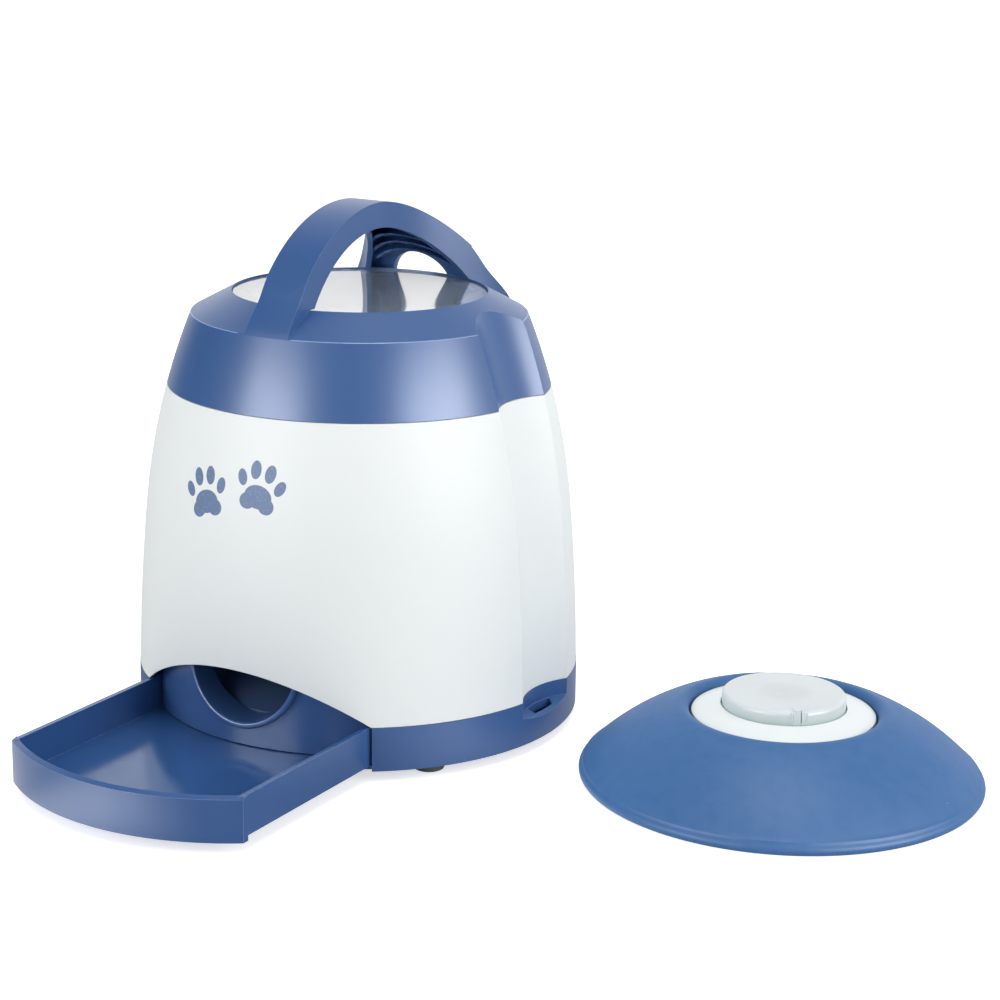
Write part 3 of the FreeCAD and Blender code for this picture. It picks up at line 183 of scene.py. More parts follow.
# In reflections the room is white behind the product, dark at the left and dim in front
walls = sky.nodes.new("ShaderNodeBackground")
bearings = sky.nodes.new("ShaderNodeTexCoord").outputs["Generated"]
wall_stops = ((-180, 1), (-122, 1), (-102, 0.02), (-55, 0.02), (-40, 0.15), (0, 0.2), (20, 0.3))
wall_stops += ((50, 0.3), (110, 0.45), (130, 0.85), (145, 1), (180, 1))
link(sky, by_azimuth(sky, bearings, wall_stops), walls.inputs["Color"])
ceiling = span(sky, axes_of(sky, bearings)["Z"], 0.4, 0.8, 1.2, 0.6, "LINEAR")
link(sky, ceiling, walls.inputs["Strength"])
white = sky.nodes.new("ShaderNodeBackground")
fill(white, {"Color": (1, 1, 1, 1), "Strength": 1.03})
reflected = mixed(sky, rays["Is Glossy Ray"], room.outputs[0], walls.outputs[0])
shown = mixed(sky, seen, reflected, white.outputs[0])
link(sky, shown, sky.nodes.new("ShaderNodeOutputWorld").inputs["Surface"])

bpy.ops.object.select_all(action="DESELECT")
bpy.ops.mesh.primitive_plane_add(size=12)
floor = bpy.context.active_object
floor.name = "studio_floor"
floor_white = bpy.data.materials.new("studio_white")
floor_white.use_nodes = True
tree = floor_white.node_tree
tree.nodes.clear()
rays = tree.nodes.new("ShaderNodeLightPath").outputs
paper = tree.nodes.new("ShaderNodeBsdfDiffuse")
fill(paper, {"Color": (0.86, 0.86, 0.86, 1)})
glow = tree.nodes.new("ShaderNodeEmission")
fill(glow, {"Color": (0.62, 0.62, 0.62, 1)})
link(tree, rays["Is Camera Ray"], glow.inputs["Strength"])
both = tree.nodes.new("ShaderNodeAddShader")
link(tree, paper.outputs[0], both.inputs[0])
link(tree, glow.outputs[0], both.inputs[1])
floor_stops = ((-180, 0.8), (-122, 0.8), (-100, 0.3), (-60, 0.25), (-35, 0.8), (-15, 1), (5, 0.65))
floor_stops += ((30, 0.3), (50, 0.35), (75, 0.7), (95, 0.7), (115, 0.5), (150, 0.6), (180, 0.8))
shine = tree.nodes.new("ShaderNodeEmission")
places = place_of(tree)
link(tree, by_azimuth(tree, places, floor_stops), shine.inputs["Color"])
brightness = 1.1
for spot, strength in (((-0.012, -0.229, 0), 4.5), ((0.145, -0.075, 0), 2.4)):
    # Two bright patches close to the product, mirrored in the tray's front and in the ring
    apart = tree.nodes.new("ShaderNodeVectorMath")
    apart.operation = "DISTANCE"
    link(tree, places, apart.inputs[0])
    apart.inputs[1].default_value = spot
    patch = span(tree, apart.outputs["Value"], 0, 0.075, strength, 0)
    brightness = calc(tree, "ADD", patch, brightness)
link(tree, brightness, shine.inputs["Strength"])
surface = mixed(tree, rays["Is Glossy Ray"], both.outputs[0], shine.outputs[0])
link(tree, surface, tree.nodes.new("ShaderNodeOutputMaterial").inputs["Surface"])
floor.data.materials.append(floor_white)


# Outer shell: one white moulding, a tapering round wall 2.5 mm thick with a scooped recess up
# each flank and a shallow arch in front over the tray; it is screwed to the base from below
def deselect():
    if bpy.context.object and bpy.context.object.mode != "OBJECT":
        bpy.ops.object.mode_set(mode="OBJECT")
    bpy.ops.object.select_all(action="DESELECT")


def take(made):
    # Only this piece is selected and active
    deselect()
    bpy.context.view_layer.objects.active = made
    made.select_set(True)


# The barrel's outline is two arcs, tangent where they join: (radius, centre's x, centre's z)
lower_arc, upper_arc = (1.010, -0.907, 0.0047), (0.312, -0.212314, 0.072634)
arc_join_z = 0.103


def outline_radius(z, inset=0.0):
    radius, centre, level = lower_arc if z < arc_join_z else upper_arc
    return centre + sqrt((radius - inset) ** 2 - (z - level) ** 2)


def outline(low, high, inset=0.0, step=0.004):
    count = max(2, ceil((high - low) / step))
    heights = [low + (high - low) * i / count for i in range(count + 1)]
    return [Vector((outline_radius(z, inset), 0, z)) for z in heights]


def rounded(points, radii, parts=4):
    # Rounds the corners of a chain of points, each by its own radius
    smooth = [points[0]]
    for before, corner, after, radius in zip(points, points[1:], points[2:], radii):
        if radius == 0:
            smooth.append(corner)
            continue
        to_before = (before - corner).normalized()
        to_after = (after - corner).normalized()
        half = to_before.angle(to_after) / 2
        shorter = min((before - corner).length, (after - corner).length)
        reach = min(radius / tan(half), 0.45 * shorter)
        start, end = corner + to_before * reach, corner + to_after * reach
        for i in range(parts + 1):
            t = i / parts
            smooth.append(start * (1 - t) ** 2 + corner * 2 * t * (1 - t) + end * t ** 2)
    smooth.append(points[-1])
    return smooth


def shape_all():
    bpy.ops.object.mode_set(mode="EDIT")
    bpy.ops.mesh.select_all(action="SELECT")


def chain(name, points):
    # A line of edges through the points, extruded one after the other
    deselect()
    bpy.ops.mesh.primitive_plane_add(size=0.001)
    made = bpy.context.active_object
    made.name = name
    shape_all()
    bpy.ops.mesh.merge(type="CENTER")
    bpy.ops.transform.translate(value=points[0])
    for a, b in zip(points, points[1:]):
        bpy.ops.mesh.extrude_region_move(TRANSFORM_OT_translate={"value": b - a})
    return made


def close_up(made):
    bpy.ops.mesh.select_all(action="SELECT")
    bpy.ops.mesh.remove_doubles(threshold=0.000002)
    bpy.ops.mesh.normals_make_consistent(inside=False)
    bpy.ops.object.mode_set(mode="OBJECT")
    return made


def turned(name, points, steps=240, axis_x=0.0, axis_y=0.0):
    # The points are turned once round an upright axis
    made = chain(name, [Vector((p.x + axis_x, axis_y, p.z)) for p in points])
    bpy.ops.mesh.select_all(action="SELECT")
    bpy.ops.mesh.spin(steps=steps, angle=2 * pi, center=(axis_x, axis_y, 0), axis=(0, 0, 1))
    return close_up(made)


def prism(name, points, shift):
    # A closed outline is filled and extruded along shift
    made = chain(name, points)
    bpy.ops.mesh.select_all(action="SELECT")
    bpy.ops.mesh.edge_face_add()
    bpy.ops.mesh.extrude_region_move(TRANSFORM_OT_translate={"value": shift})
    return close_up(made)


def combine(made, tool, operation):
    # The tool is a solid that is used up
    take(made)
    change = made.modifiers.new("shaping", "BOOLEAN")
    change.operation = operation
    change.solver = "EXACT"
    change.object = tool
    bpy.ops.object.modifier_apply(modifier=change.name)
    bpy.data.objects.remove(tool)
    return made


def cut(made, tool):
    return combine(made, tool, "DIFFERENCE")


def join(made, tool):
    return combine(made, tool, "UNION")


def shared(made, tool):
    return combine(made, tool, "INTERSECT")


def placed(made, move=(0, 0, 0), turn=0.0):
    # Moves a piece and turns it about the upright axis, then fixes its place in its mesh
    take(made)
    made.rotation_euler.z = radians(turn)
    made.location = move
    bpy.ops.object.transform_apply(location=True, rotation=True, scale=True)
    return made


def settled(name):
    # The primitive just added gets its name, and its place goes into its mesh
    made = bpy.context.active_object
    made.name = name
    bpy.ops.object.transform_apply(location=True, rotation=True, scale=True)
    return made


def block(name, low, high):
    # A square-edged block between two corners
    deselect()
    middle = [(a + b) / 2 for a, b in zip(low, high)]
    sizes = [b - a for a, b in zip(low, high)]
    bpy.ops.mesh.primitive_cube_add(size=1, location=middle, scale=sizes)
    return settled(name)


scoop_radius, scoop_depth = 0.0375, 0.0082


def scoop_pair(growth=0.0):
    # Round cutters bent along the outline's two arcs, one on each flank
    low_radius, low_x, low_z = lower_arc
    high_radius, high_x, high_z = upper_arc
    start = asin(-0.02 / low_radius)
    low_end = asin((arc_join_z - low_z) / low_radius)
    turn, end = [asin((z - high_z) / high_radius) for z in (arc_join_z, 0.215)]
    track = low_radius - scoop_depth + scoop_radius
    spot = (low_x + track * cos(start), 0, low_z + track * sin(start))
    cutters = []
    for side in (1, -1):
        deselect()
        bpy.ops.mesh.primitive_circle_add(
            vertices=180,
            radius=scoop_radius + growth,
            fill_type="NGON",
            location=spot,
            rotation=(0, -start, 0),
        )
        made = settled("scoop")
        shape_all()
        for steps, angle, x, z in ((30, low_end - start, low_x, low_z), (28, end - turn, high_x, high_z)):
            bpy.ops.mesh.spin(steps=steps, angle=angle, center=(x, 0, z), axis=(0, 1, 0))
        close_up(made)
        if side < 0:
            take(made)
            made.scale = (-1, 1, 1)
            bpy.ops.object.transform_apply(location=False, rotation=False, scale=True)
            bpy.ops.object.mode_set(mode="EDIT")
            close_up(made)
        cutters.append(made)
    return cutters


def without_scoops(made, growth=0.0, floor_height=None):
    # The recesses are cut, down to a floor where one is given
    for cutter in scoop_pair(growth):
        if floor_height is not None:
            below = block("below", (-0.2, -0.1, -0.1), (0.2, 0.1, floor_height))
            cut(cutter, below)
        cut(made, cutter)
    return made


def solid_turned(name, points):
    # A solid of revolution, with its ends closed on the axis
    low, high = Vector((0, 0, points[0].z)), Vector((0, 0, points[-1].z))
    return turned(name, [low] + points + [high])


def finish_edges(made, width, parts=3, sharper_than=30, merge=0.00006):
    # Small stray points along cut edges are merged, then, where a width is given, every sharp edge is
    # rounded
    take(made)
    shape_all()
    bpy.ops.mesh.remove_doubles(threshold=merge)
    bpy.ops.mesh.dissolve_degenerate(threshold=merge)
    bpy.ops.object.mode_set(mode="OBJECT")
    if width:
        bevel = made.modifiers.new("edges", "BEVEL")
        bevel.width = width
        bevel.segments = parts
        bevel.limit_method = "ANGLE"
        bevel.angle_limit = radians(sharper_than)
        bevel.miter_outer = "MITER_ARC"
        bevel.harden_normals = False
        if len(made.data.materials) > 1:
            bevel.material = 1
        bpy.ops.object.modifier_apply(modifier=bevel.name)
    bpy.ops.object.shade_smooth_by_angle(angle=radians(35))
    weights = made.modifiers.new("even_shading", "WEIGHTED_NORMAL")
    weights.keep_sharp = True
    weights.weight = 50
    bpy.ops.object.modifier_apply(modifier=weights.name)
    return made


def tone(red, green, blue):
    # A colour as it looks on a screen, 0 to 255, turned into the linear colour of a shader
    def part(value):
        value /= 255
        return value / 12.92 if value <= 0.04045 else ((value + 0.055) / 1.055) ** 2.4

    return (part(red), part(green), part(blue), 1)


def new_group(name, inputs, outputs):
    # A shader node group with named sockets; a value's length tells which kind it is
    group = bpy.data.node_groups.new(name, "ShaderNodeTree")
    kinds = {4: "NodeSocketColor", 3: "NodeSocketVector", 1: "NodeSocketFloat"}
    for label, value in inputs.items():
        kind = kinds[len(value) if isinstance(value, tuple) else 1]
        socket = group.interface.new_socket(name=label, in_out="INPUT", socket_type=kind)
        socket.default_value = value
    for label in outputs:
        kind = kinds[4 if label == "Colour" else 1]
        group.interface.new_socket(name=label, in_out="OUTPUT", socket_type=kind)
    given = group.nodes.new("NodeGroupInput").outputs
    made_by = group.nodes.new("NodeGroupOutput").inputs
    return group, given, made_by


def noise(tree, place, scale, detail=2.0, stretch=None):
    # Noise in metres of the object; stretch draws it out along an axis
    if stretch is not None:
        drawn = tree.nodes.new("ShaderNodeMapping")
        link(tree, place, drawn.inputs["Vector"])
        drawn.inputs["Scale"].default_value = stretch
        place = drawn.outputs[0]
    node = tree.nodes.new("ShaderNodeTexNoise")
    link(tree, place, node.inputs["Vector"])
    feed(tree, scale, node.inputs["Scale"])
    node.inputs["Detail"].default_value = detail
    return node.outputs["Fac"]


def blend_colour(tree, share, first, second):
    node = tree.nodes.new("ShaderNodeMix")
    node.data_type = "RGBA"
    # Sockets 6, 7 and the third output are the ones for colours
    feed(tree, share, node.inputs["Factor"])
    feed(tree, first, node.inputs[6])
    feed(tree, second, node.inputs[7])
    return node.outputs[2]


def scaled(tree, colour, factor):
    node = tree.nodes.new("ShaderNodeVectorMath")
    node.operation = "SCALE"
    link(tree, colour, node.inputs[0])
    link(tree, factor, node.inputs["Scale"])
    return node.outputs[0]


def laid_out(tree, source, middle, turn, width, height):
    # Coordinates of a print that is moved, turned in degrees and stretched
    node = tree.nodes.new("ShaderNodeMapping")
    node.vector_type = "TEXTURE"
    link(tree, source, node.inputs["Vector"])
    place = {"Location": (*middle, 0), "Rotation": (0, 0, radians(turn))}
    fill(node, {**place, "Scale": (width, height, 1)})
    return node.outputs[0]


# Moulded surface: faint clouds in the colour, uneven gloss, a fine spark-eroded grain, a few
# specks of dust, and a patchy lighter rub for edges and worn places
moulded_surface, given, made_by = new_group(
    "moulded_surface",
    {
        "Colour": (0.8, 0.8, 0.8, 1),
        "Clouds": 0.03,
        "Roughness": 0.4,
        "Uneven gloss": 0.06,
        "Grain scale": 1500.0,
        "Rubbed": 0.0,
        "Dust": 0.3,
    },
    ("Colour", "Roughness", "Height"),
)
tree = moulded_surface
place = place_of(tree)
cloud = calc(tree, "SUBTRACT", noise(tree, place, 16, 3), 0.5)
cloud = calc(tree, "MULTIPLY_ADD", cloud, calc(tree, "MULTIPLY", given["Clouds"], 4), 1)
clouded = scaled(tree, given["Colour"], cloud)
patchy = span(tree, noise(tree, place, 140, 3), 0.3, 0.6, 0.3, 1.0)
rubbed = calc(tree, "MULTIPLY", patchy, given["Rubbed"])
coloured = blend_colour(tree, rubbed, clouded, (0.62, 0.68, 0.75, 1))
cells = tree.nodes.new("ShaderNodeTexVoronoi")
link(tree, place, cells.inputs["Vector"])
cells.inputs["Scale"].default_value = 120
speck = span(tree, cells.outputs["Distance"], 0.014, 0.024, 1, 0)
chosen = tree.nodes.new("ShaderNodeSeparateColor")
link(tree, cells.outputs["Color"], chosen.inputs[0])
few = calc(tree, "GREATER_THAN", chosen.outputs[0], 0.82)
speck = calc(tree, "MULTIPLY", speck, few)
speck = calc(tree, "MULTIPLY", speck, given["Dust"])
link(tree, blend_colour(tree, speck, coloured, (0.7, 0.74, 0.78, 1)), made_by["Colour"])
gloss = calc(tree, "SUBTRACT", noise(tree, place, 55, 4), 0.5)
gloss = calc(tree, "MULTIPLY_ADD", gloss, given["Uneven gloss"], given["Roughness"])
gloss = calc(tree, "MULTIPLY_ADD", rubbed, -0.08, gloss)
link(tree, calc(tree, "MULTIPLY_ADD", speck, 0.3, gloss), made_by["Roughness"])
link(tree, noise(tree, place, given["Grain scale"], 2), made_by["Height"])


def shader_of(name, group, values, grain_height):
    # A material whose Principled shader is fed by a group, with the grain as its bump
    made = bpy.data.materials.new(name)
    made.use_nodes = True
    tree = made.node_tree
    shader = tree.nodes["Principled BSDF"]
    surface = tree.nodes.new("ShaderNodeGroup")
    surface.node_tree = group
    fill(surface, values)
    link(tree, surface.outputs["Colour"], shader.inputs["Base Color"])
    link(tree, surface.outputs["Roughness"], shader.inputs["Roughness"])
    bump = tree.nodes.new("ShaderNodeBump")
    bump.inputs["Distance"].default_value = grain_height
    link(tree, surface.outputs["Height"], bump.inputs["Height"])
    link(tree, bump.outputs["Normal"], shader.inputs["Normal"])
    return made, tree, surface, shader


def moulded(
    name,
    colour,
    roughness,
    clouds=0.02,
    uneven=0.06,
    grain=1500,
    height=0.000012,
    rubbed=0.0,
    dust=0.25,
):
    # Clouds, unevenness, rub and dust are amounts; grain is a scale and height in metres
    values = {"Colour": colour, "Clouds": clouds, "Roughness": roughness, "Uneven gloss": uneven}
    values.update({"Grain scale": grain, "Rubbed": rubbed, "Dust": dust})
    return shader_of(name, moulded_surface, values, height)


def give(piece, finish, edge_finish=None):
    # One finish all over, and where it is given another for the rounded edges
    piece.data.materials.clear()
    piece.data.materials.append(finish)
    if edge_finish is not None:
        piece.data.materials.append(edge_finish)


def dress(finish, *names):
    # CAD nodes that keep their shape get their finish
    for name in names:
        if not nodes[name].material_slots:
            nodes[name].data.materials.append(finish)
        for slot in nodes[name].material_slots:
            slot.material = finish


# The print in front is a pair of paw marks, screen printed in grey-blue: each is a pad of
# three rounds and four toes, given as (middle, half sizes, turn) in metres
paw_print, given, made_by = new_group("paw_print", {"Position": (0.0, 0.0, 0.0)}, ("Mask",))
paw_rounds = [
    ((0.0, -0.0036), (0.0064, 0.0048), 0),
    ((-0.0043, -0.0062), (0.0037, 0.0034), 18),
    ((0.0043, -0.0062), (0.0037, 0.0034), -18),
    ((-0.0034, 0.0066), (0.0025, 0.0038), 6),
    ((0.0034, 0.0066), (0.0025, 0.0038), -6),
    ((-0.0088, 0.0021), (0.0022, 0.0034), 24),
    ((0.0088, 0.0021), (0.0022, 0.0034), -24),
]
mask = 0.0
for middle, half, turn in paw_rounds:
    reach = paw_print.nodes.new("ShaderNodeVectorMath")
    reach.operation = "LENGTH"
    spot = laid_out(paw_print, given["Position"], middle, turn, *half)
    link(paw_print, spot, reach.inputs[0])
    inside = span(paw_print, reach.outputs["Value"], 0.95, 1.0, 1, 0)
    mask = calc(paw_print, "MAXIMUM", inside, mask)
link(paw_print, mask, made_by["Mask"])

shell_white, tree, surface, shader = moulded(
    "satin_white_plastic", tone(232, 236, 235), 0.52, 0.006, 0.05
)
fill(shader, {"Specular IOR Level": 0.3})
# The wall is laid out flat, by the bearing times its radius behind the print and by height
print_radius = 0.0955
across = calc(tree, "MULTIPLY", bearing_of(tree, place_of(tree)), print_radius)
flat = tree.nodes.new("ShaderNodeCombineXYZ")
link(tree, across, flat.inputs["X"])
link(tree, axes_of(tree, place_of(tree))["Z"], flat.inputs["Y"])
marks = 0.0
for middle, turn in (((-0.0185, 0.1215), 14), ((0.0105, 0.1275), -10)):
    paw = tree.nodes.new("ShaderNodeGroup")
    paw.node_tree = paw_print
    printed = laid_out(tree, flat.outputs[0], middle, turn, 1.08, 1.08)
    link(tree, printed, paw.inputs["Position"])
    marks = calc(tree, "MAXIMUM", paw.outputs["Mask"], marks)
ink_density = span(tree, noise(tree, place_of(tree), 900, 3), 0.2, 0.5, 0.88, 1.0)
ink = calc(tree, "MULTIPLY", marks, ink_density)
inked = blend_colour(tree, ink, surface.outputs["Colour"], tone(98, 122, 160))
link(tree, inked, shader.inputs["Base Color"])

wall = 0.0025
shell = without_scoops(solid_turned("white_shell", outline(0.02495, 0.1568)))
shell_room = without_scoops(solid_turned("shell_room", outline(0.0235, 0.159, wall)), wall)
cut(shell, shell_room)
# One flat arc from foot to foot
arch_radius, arch_half, arch_top, arch_foot = 0.098, 0.0606, 0.0459, 0.0239
arch = [Vector((-arch_half, 0, arch_foot))]
for i in range(-14, 15):
    turn = asin(arch_half / arch_radius) * i / 14
    height = arch_top - arch_radius + arch_radius * cos(turn)
    arch.append(Vector((arch_radius * sin(turn), 0, height)))
arch += [Vector((arch_half, 0, arch_foot)), arch[0]]
cut(shell, prism("arch", arch, Vector((0, -0.2, 0))))
# The rounded edges get a lighter white: painted highlight, with a patchy rub as wear
edge_white = moulded(
    "rubbed_white_edge_painted_highlight", tone(238, 242, 243), 0.34, 0.006, 0.05, 1500, 0.00001, 0.1
)[0]
give(shell, shell_white, edge_white)
finish_edges(shell, 0.00035)
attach(shell, "dispenser")
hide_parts("outer_shell")


# Lid: one blue moulding with a shoulder crease, a sloped ring round the window and a ribbed
# carrying handle; a thin collar below its edge drops inside the shell and holds it
def profile(*points):
    # Half a section of a round piece, as (radius, height)
    return [Vector((radius, 0, height)) for radius, height in points]


crease_z, crease_r = 0.1896, outline_radius(0.1896)
rim_z, rim_r = 0.1995, 0.0583
side_line = outline(0.1571, crease_z)
top_line = profile((rim_r + 0.0002, rim_z), (rim_r - 0.0008, rim_z - 0.0004), (0.03, rim_z - 0.0004))
corners = rounded(side_line[-2:] + top_line, [0.0006, 0.0003, 0])
lid = without_scoops(solid_turned("blue_lid", side_line[:-1] + corners[1:]))
collar = without_scoops(solid_turned("collar", outline(0.1491, 0.1611, 0.0028)), 0.0028)
handle_top, handle_under = 0.2397, 0.2280
handle_front, handle_rear = 0.0791, 0.0655
# The handle's front arc turns into its foot at this height
foot_meet = 0.2050


def arc_height(y, radius, crown):
    return crown - radius + sqrt(radius ** 2 - y ** 2)


def arc_reach(z, radius, crown):
    return sqrt(radius ** 2 - (z - crown + radius) ** 2)


def handle_side(outer_in, inner_in, name, half_width=0.06):
    # Side view of the handle: steep front arc, tighter rear arc, foot run out to the shoulder
    crown, under = handle_top - outer_in, handle_under + inner_in
    front, rear = handle_front - outer_in, handle_rear - outer_in
    low = 0.1830
    line = [(arc_reach(low, rear, crown), low)]
    for i in range(28, 0, -1):
        y = arc_reach(low, rear, crown) * sin(pi / 2 * i / 29)
        line.append((y, arc_height(y, rear, crown)))
    reach = arc_reach(foot_meet, front, crown)
    for i in range(34):
        y = reach * sin(pi / 2 * i / 34)
        line.append((-y, arc_height(y, front, crown)))
    # The foot's outer face leaves its arc and runs out to the wall
    line += [(-p.x, p.z) for p in foot_line(reach, front, crown, -outer_in)]
    line.append((-outline_radius(low) + outer_in, low))
    inner_front, inner_rear = 0.0649 + inner_in, 0.0585 + inner_in
    for i in range(30):
        y = arc_reach(low, inner_front, under) * sin(pi / 2 * (30 - i) / 30)
        line.append((-y, arc_height(y, inner_front, under)))
    for i in range(25):
        y = arc_reach(low, inner_rear, under) * sin(pi / 2 * i / 24)
        line.append((y, arc_height(y, inner_rear, under)))
    points = [Vector((-half_width, y, z)) for y, z in line + line[:1]]
    return prism(name, points, Vector((2 * half_width, 0, 0)))


def foot_line(reach, front, crown, stand):
    # From the front arc over the shoulder and along the wall, a hair inside it
    shoulder, landing, hair = 0.1893, 0.1845, 0.00005
    drop = foot_meet - shoulder
    slope_start = (foot_meet - crown + front) / reach
    wall_slope = (outline_radius(shoulder - 0.001) - outline_radius(shoulder + 0.001)) / 0.002
    line = []
    for i in range(13):
        # A smooth curve between two points with given slopes
        t = i / 12
        y = (2 * t ** 3 - 3 * t ** 2 + 1) * reach + (t ** 3 - 2 * t ** 2 + t) * slope_start * drop
        y += (-2 * t ** 3 + 3 * t ** 2) * (outline_radius(shoulder) + stand - hair)
        y += (t ** 3 - t ** 2) * wall_slope * drop
        line.append(Vector((y, 0, foot_meet - drop * t)))
    for i in range(1, 5):
        height = shoulder + (landing - shoulder) * i / 4
        line.append(Vector((outline_radius(height) + stand - hair, 0, height)))
    return line


def handle_plan(inset, name):
    # Plan view: narrow over the middle, a widening front foot, a rear foot that flares
    narrow, rear_flare, front_flare, foot_start = 0.0096, 0.0755, 0.06, 0.068

    def half(y):
        if y > 0:
            return narrow + rear_flare - sqrt(rear_flare ** 2 - y ** 2) - inset
        wide = narrow + 0.0009 * min(1, -y / 0.062)
        if -y > foot_start:
            run = -y - foot_start
            wide += front_flare - sqrt(front_flare ** 2 - run ** 2)
        return wide - inset

    stations = [-0.080, -0.077, -0.0745, -0.072, -0.0695, -0.067, -0.0645, -0.062, -0.03, 0.0]
    stations += [0.0022 * i for i in range(1, 31)]
    points = [Vector((half(y), y, 0.182)) for y in stations]
    points += [Vector((-half(y), y, 0.182)) for y in reversed(stations)]
    return prism(name, points + points[:1], Vector((0, 0, 0.07)))


handle = shared(handle_side(0, 0, "handle"), handle_plan(0, "plan"))
# The foot's face is trimmed to the round wall that it runs into, and fades to flat above
trim_top = 0.2150
trim = profile((0.12, 0.2500), (0.12, trim_top))
for i in range(12):
    height = trim_top - (trim_top - foot_meet) * i / 11
    fade = ((height - foot_meet) / (trim_top - foot_meet)) ** 1.5
    trim.append(Vector((arc_reach(height, handle_front, handle_top) + 0.0012 * fade, 0, height)))
foot_reach = arc_reach(foot_meet, handle_front, handle_top)
trim += foot_line(foot_reach, handle_front, handle_top, 0)[1:]
trim += profile((outline_radius(0.1825) - 0.0016, 0.1825))
shared(handle, solid_turned("trim", trim[::-1]))
# The underside is hollow, with three low arched ribs across it above the rear gate
hollow = shared(handle_side(0.003, -0.004, "hollow", 0.05), handle_plan(0.003, "plan"))
for top in (0.2124, 0.2166, 0.2208):
    bow = []
    for radius, ways in ((0.0360, range(-8, 9)), (0.0350, range(8, -9, -1))):
        for i in ways:
            turn = radians(4.5 * i)
            height = top - 0.036 + radius * cos(turn)
            bow.append(Vector((radius * sin(turn), 0.01, height)))
    across = prism("bow", bow + bow[:1], Vector((0, 0.06, 0)))
    rib = shared(handle_side(0.0015, 0.0012, "rib"), across)
    cut(hollow, rib)
cut(handle, hollow)
gate_radius, gate_x, gate_z = 0.0158, -0.0022, 0.1937
gate = []
for i in range(33):
    x, z = gate_radius * cos(pi * i / 32), gate_radius * sin(pi * i / 32)
    gate.append(Vector((x + gate_x, 0.03, gate_z + z)))
gate += [Vector((-0.0180, 0.03, 0.180)), Vector((0.0136, 0.03, 0.180)), gate[0]]
cut(handle, prism("gate", gate, Vector((0, 0.06, 0))))
placed(handle, (0, 0, 0), 1.1)

join(lid, collar)
join(lid, handle)
room_line = outline(0.1601, 0.18753, wall)
room_line += profile((0.0608, 0.19531), (0.0608, 0.1932), (0.0530, 0.1932))
room_line += profile((0.0530, 0.1954), (0.0583, 0.1954), (0.0583, 0.1995))
lid_room = without_scoops(solid_turned("lid_room", room_line), wall)
collar_room = without_scoops(solid_turned("collar_room", outline(0.1480, 0.1611, 0.0046)), 0.0046)
cut(lid, lid_room)
cut(lid, collar_room)
lid_blue = moulded("satin_blue_plastic", tone(54, 91, 146), 0.34, 0.012)[0]
# The rounded edges of the blue mouldings get a much lighter blue: painted highlight, with a patchy rub as
# wear
edge_blue = moulded(
    "rubbed_blue_edge_painted_highlight", tone(124, 156, 204), 0.26, 0.02, 0.05, 1500, 0.00001, 0.2
)[0]
give(lid, lid_blue, edge_blue)
finish_edges(lid, 0.0005)
for face in lid.data.polygons:
    # The rounded crease gets the painted highlight of the other edges, but not where the foot runs over
    # it
    spot = face.center
    on_foot = abs(spot.x) < 0.014 and spot.y < 0
    beside = abs(hypot(spot.x, spot.y) - crease_r)
    if not on_foot and abs(spot.z - crease_z) < 0.0005 and beside < 0.0007:
        face.material_index = 1
    if on_foot and spot.y < -0.068 and spot.z < 0.1905:
        face.material_index = 0
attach(lid, "lid")
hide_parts("lid_cover")


# Base: one blue moulding, a 20 mm ring with a floor plate, open in front for the tray, with a
# guide wall on each side of it, posts for the case screws and a sound slot in each recess
def drum(name, radius, low, high):
    return solid_turned(name, profile((radius, low), (radius, high)))


ring_radius, ring_low, ring_top = 0.103, 0.0047, 0.0247
gate_left, gate_right = -0.0625, 0.0609
base = drum("blue_base_ring", ring_radius, ring_low, ring_top)
without_scoops(base, 0.0, 0.0175)
for side in (-1, 1):
    # The floor of each recess falls a little towards its open side
    fall = profile((0, 0.0061), (scoop_radius, 0.0175), (scoop_radius, 0.0185), (0, 0.0185))
    cut(base, turned("fall", fall, 180, side * 0.1323, 0))
base_room = drum("base_room", 0.1005, 0.0066, 0.0257)
without_scoops(base_room, wall, 0.0135)
cut(base, base_room)
tray_gate = block("tray_gate", (gate_left, -0.110, 0.0066), (gate_right, -0.0515, 0.0260))
cut(base, tray_gate)
lap = block("lap", (gate_left, -0.110, 0.0040), (gate_right, 0, 0.0080))
cut(lap, drum("kept", 0.100, 0.003, 0.009))
cut(base, lap)
for guide_x in (-0.0645, gate_right):
    guide = block("guide", (guide_x, -0.0803, 0.0052), (guide_x + 0.0020, 0.0350, 0.0246))
    join(base, guide)
rear_stop = block("rear_stop", (-0.0645, 0.03465, 0.0052), (0.0629, 0.03665, 0.0246))
join(base, rear_stop)


def round_bar(name, radius, low, high, x=0.0, y=0.0):
    # An upright round bar or bore
    deselect()
    middle = (x, y, (low + high) / 2)
    bpy.ops.mesh.primitive_cylinder_add(
        vertices=64, radius=radius, depth=high - low, location=middle
    )
    return settled(name)


foot_places = [(0.0726, -0.0547), (-0.0726, -0.0547), (0.0670, 0.0620), (-0.0670, 0.0620)]
for x, y in foot_places:
    join(base, round_bar("post", 0.0055, 0.0052, 0.0260, x, y))
for x, y in foot_places:
    cut(base, round_bar("screw_bore", 0.0017, 0.0040, 0.0270, x, y))
    cut(base, round_bar("head_bore", 0.0033, 0.0040, 0.0072, x, y))
for side in (-1, 1):
    # The slot is widest at the back of the recess, as it is seen in the right one
    corners = [(0.1000, -0.0075), (0.1003, 0.0078), (0.0897, 0.0180), (0.0897, -0.0075)]
    mouth = [Vector((side * x, y, 0.0130)) for x, y in corners]
    slot = prism("sound_slot", mouth + mouth[:1], Vector((0, 0, 0.0055)))
    cutters = scoop_pair(-0.0004)
    shared(slot, cutters.pop(0 if side > 0 else 1))
    bpy.data.objects.remove(cutters[0])
    cut(base, slot)
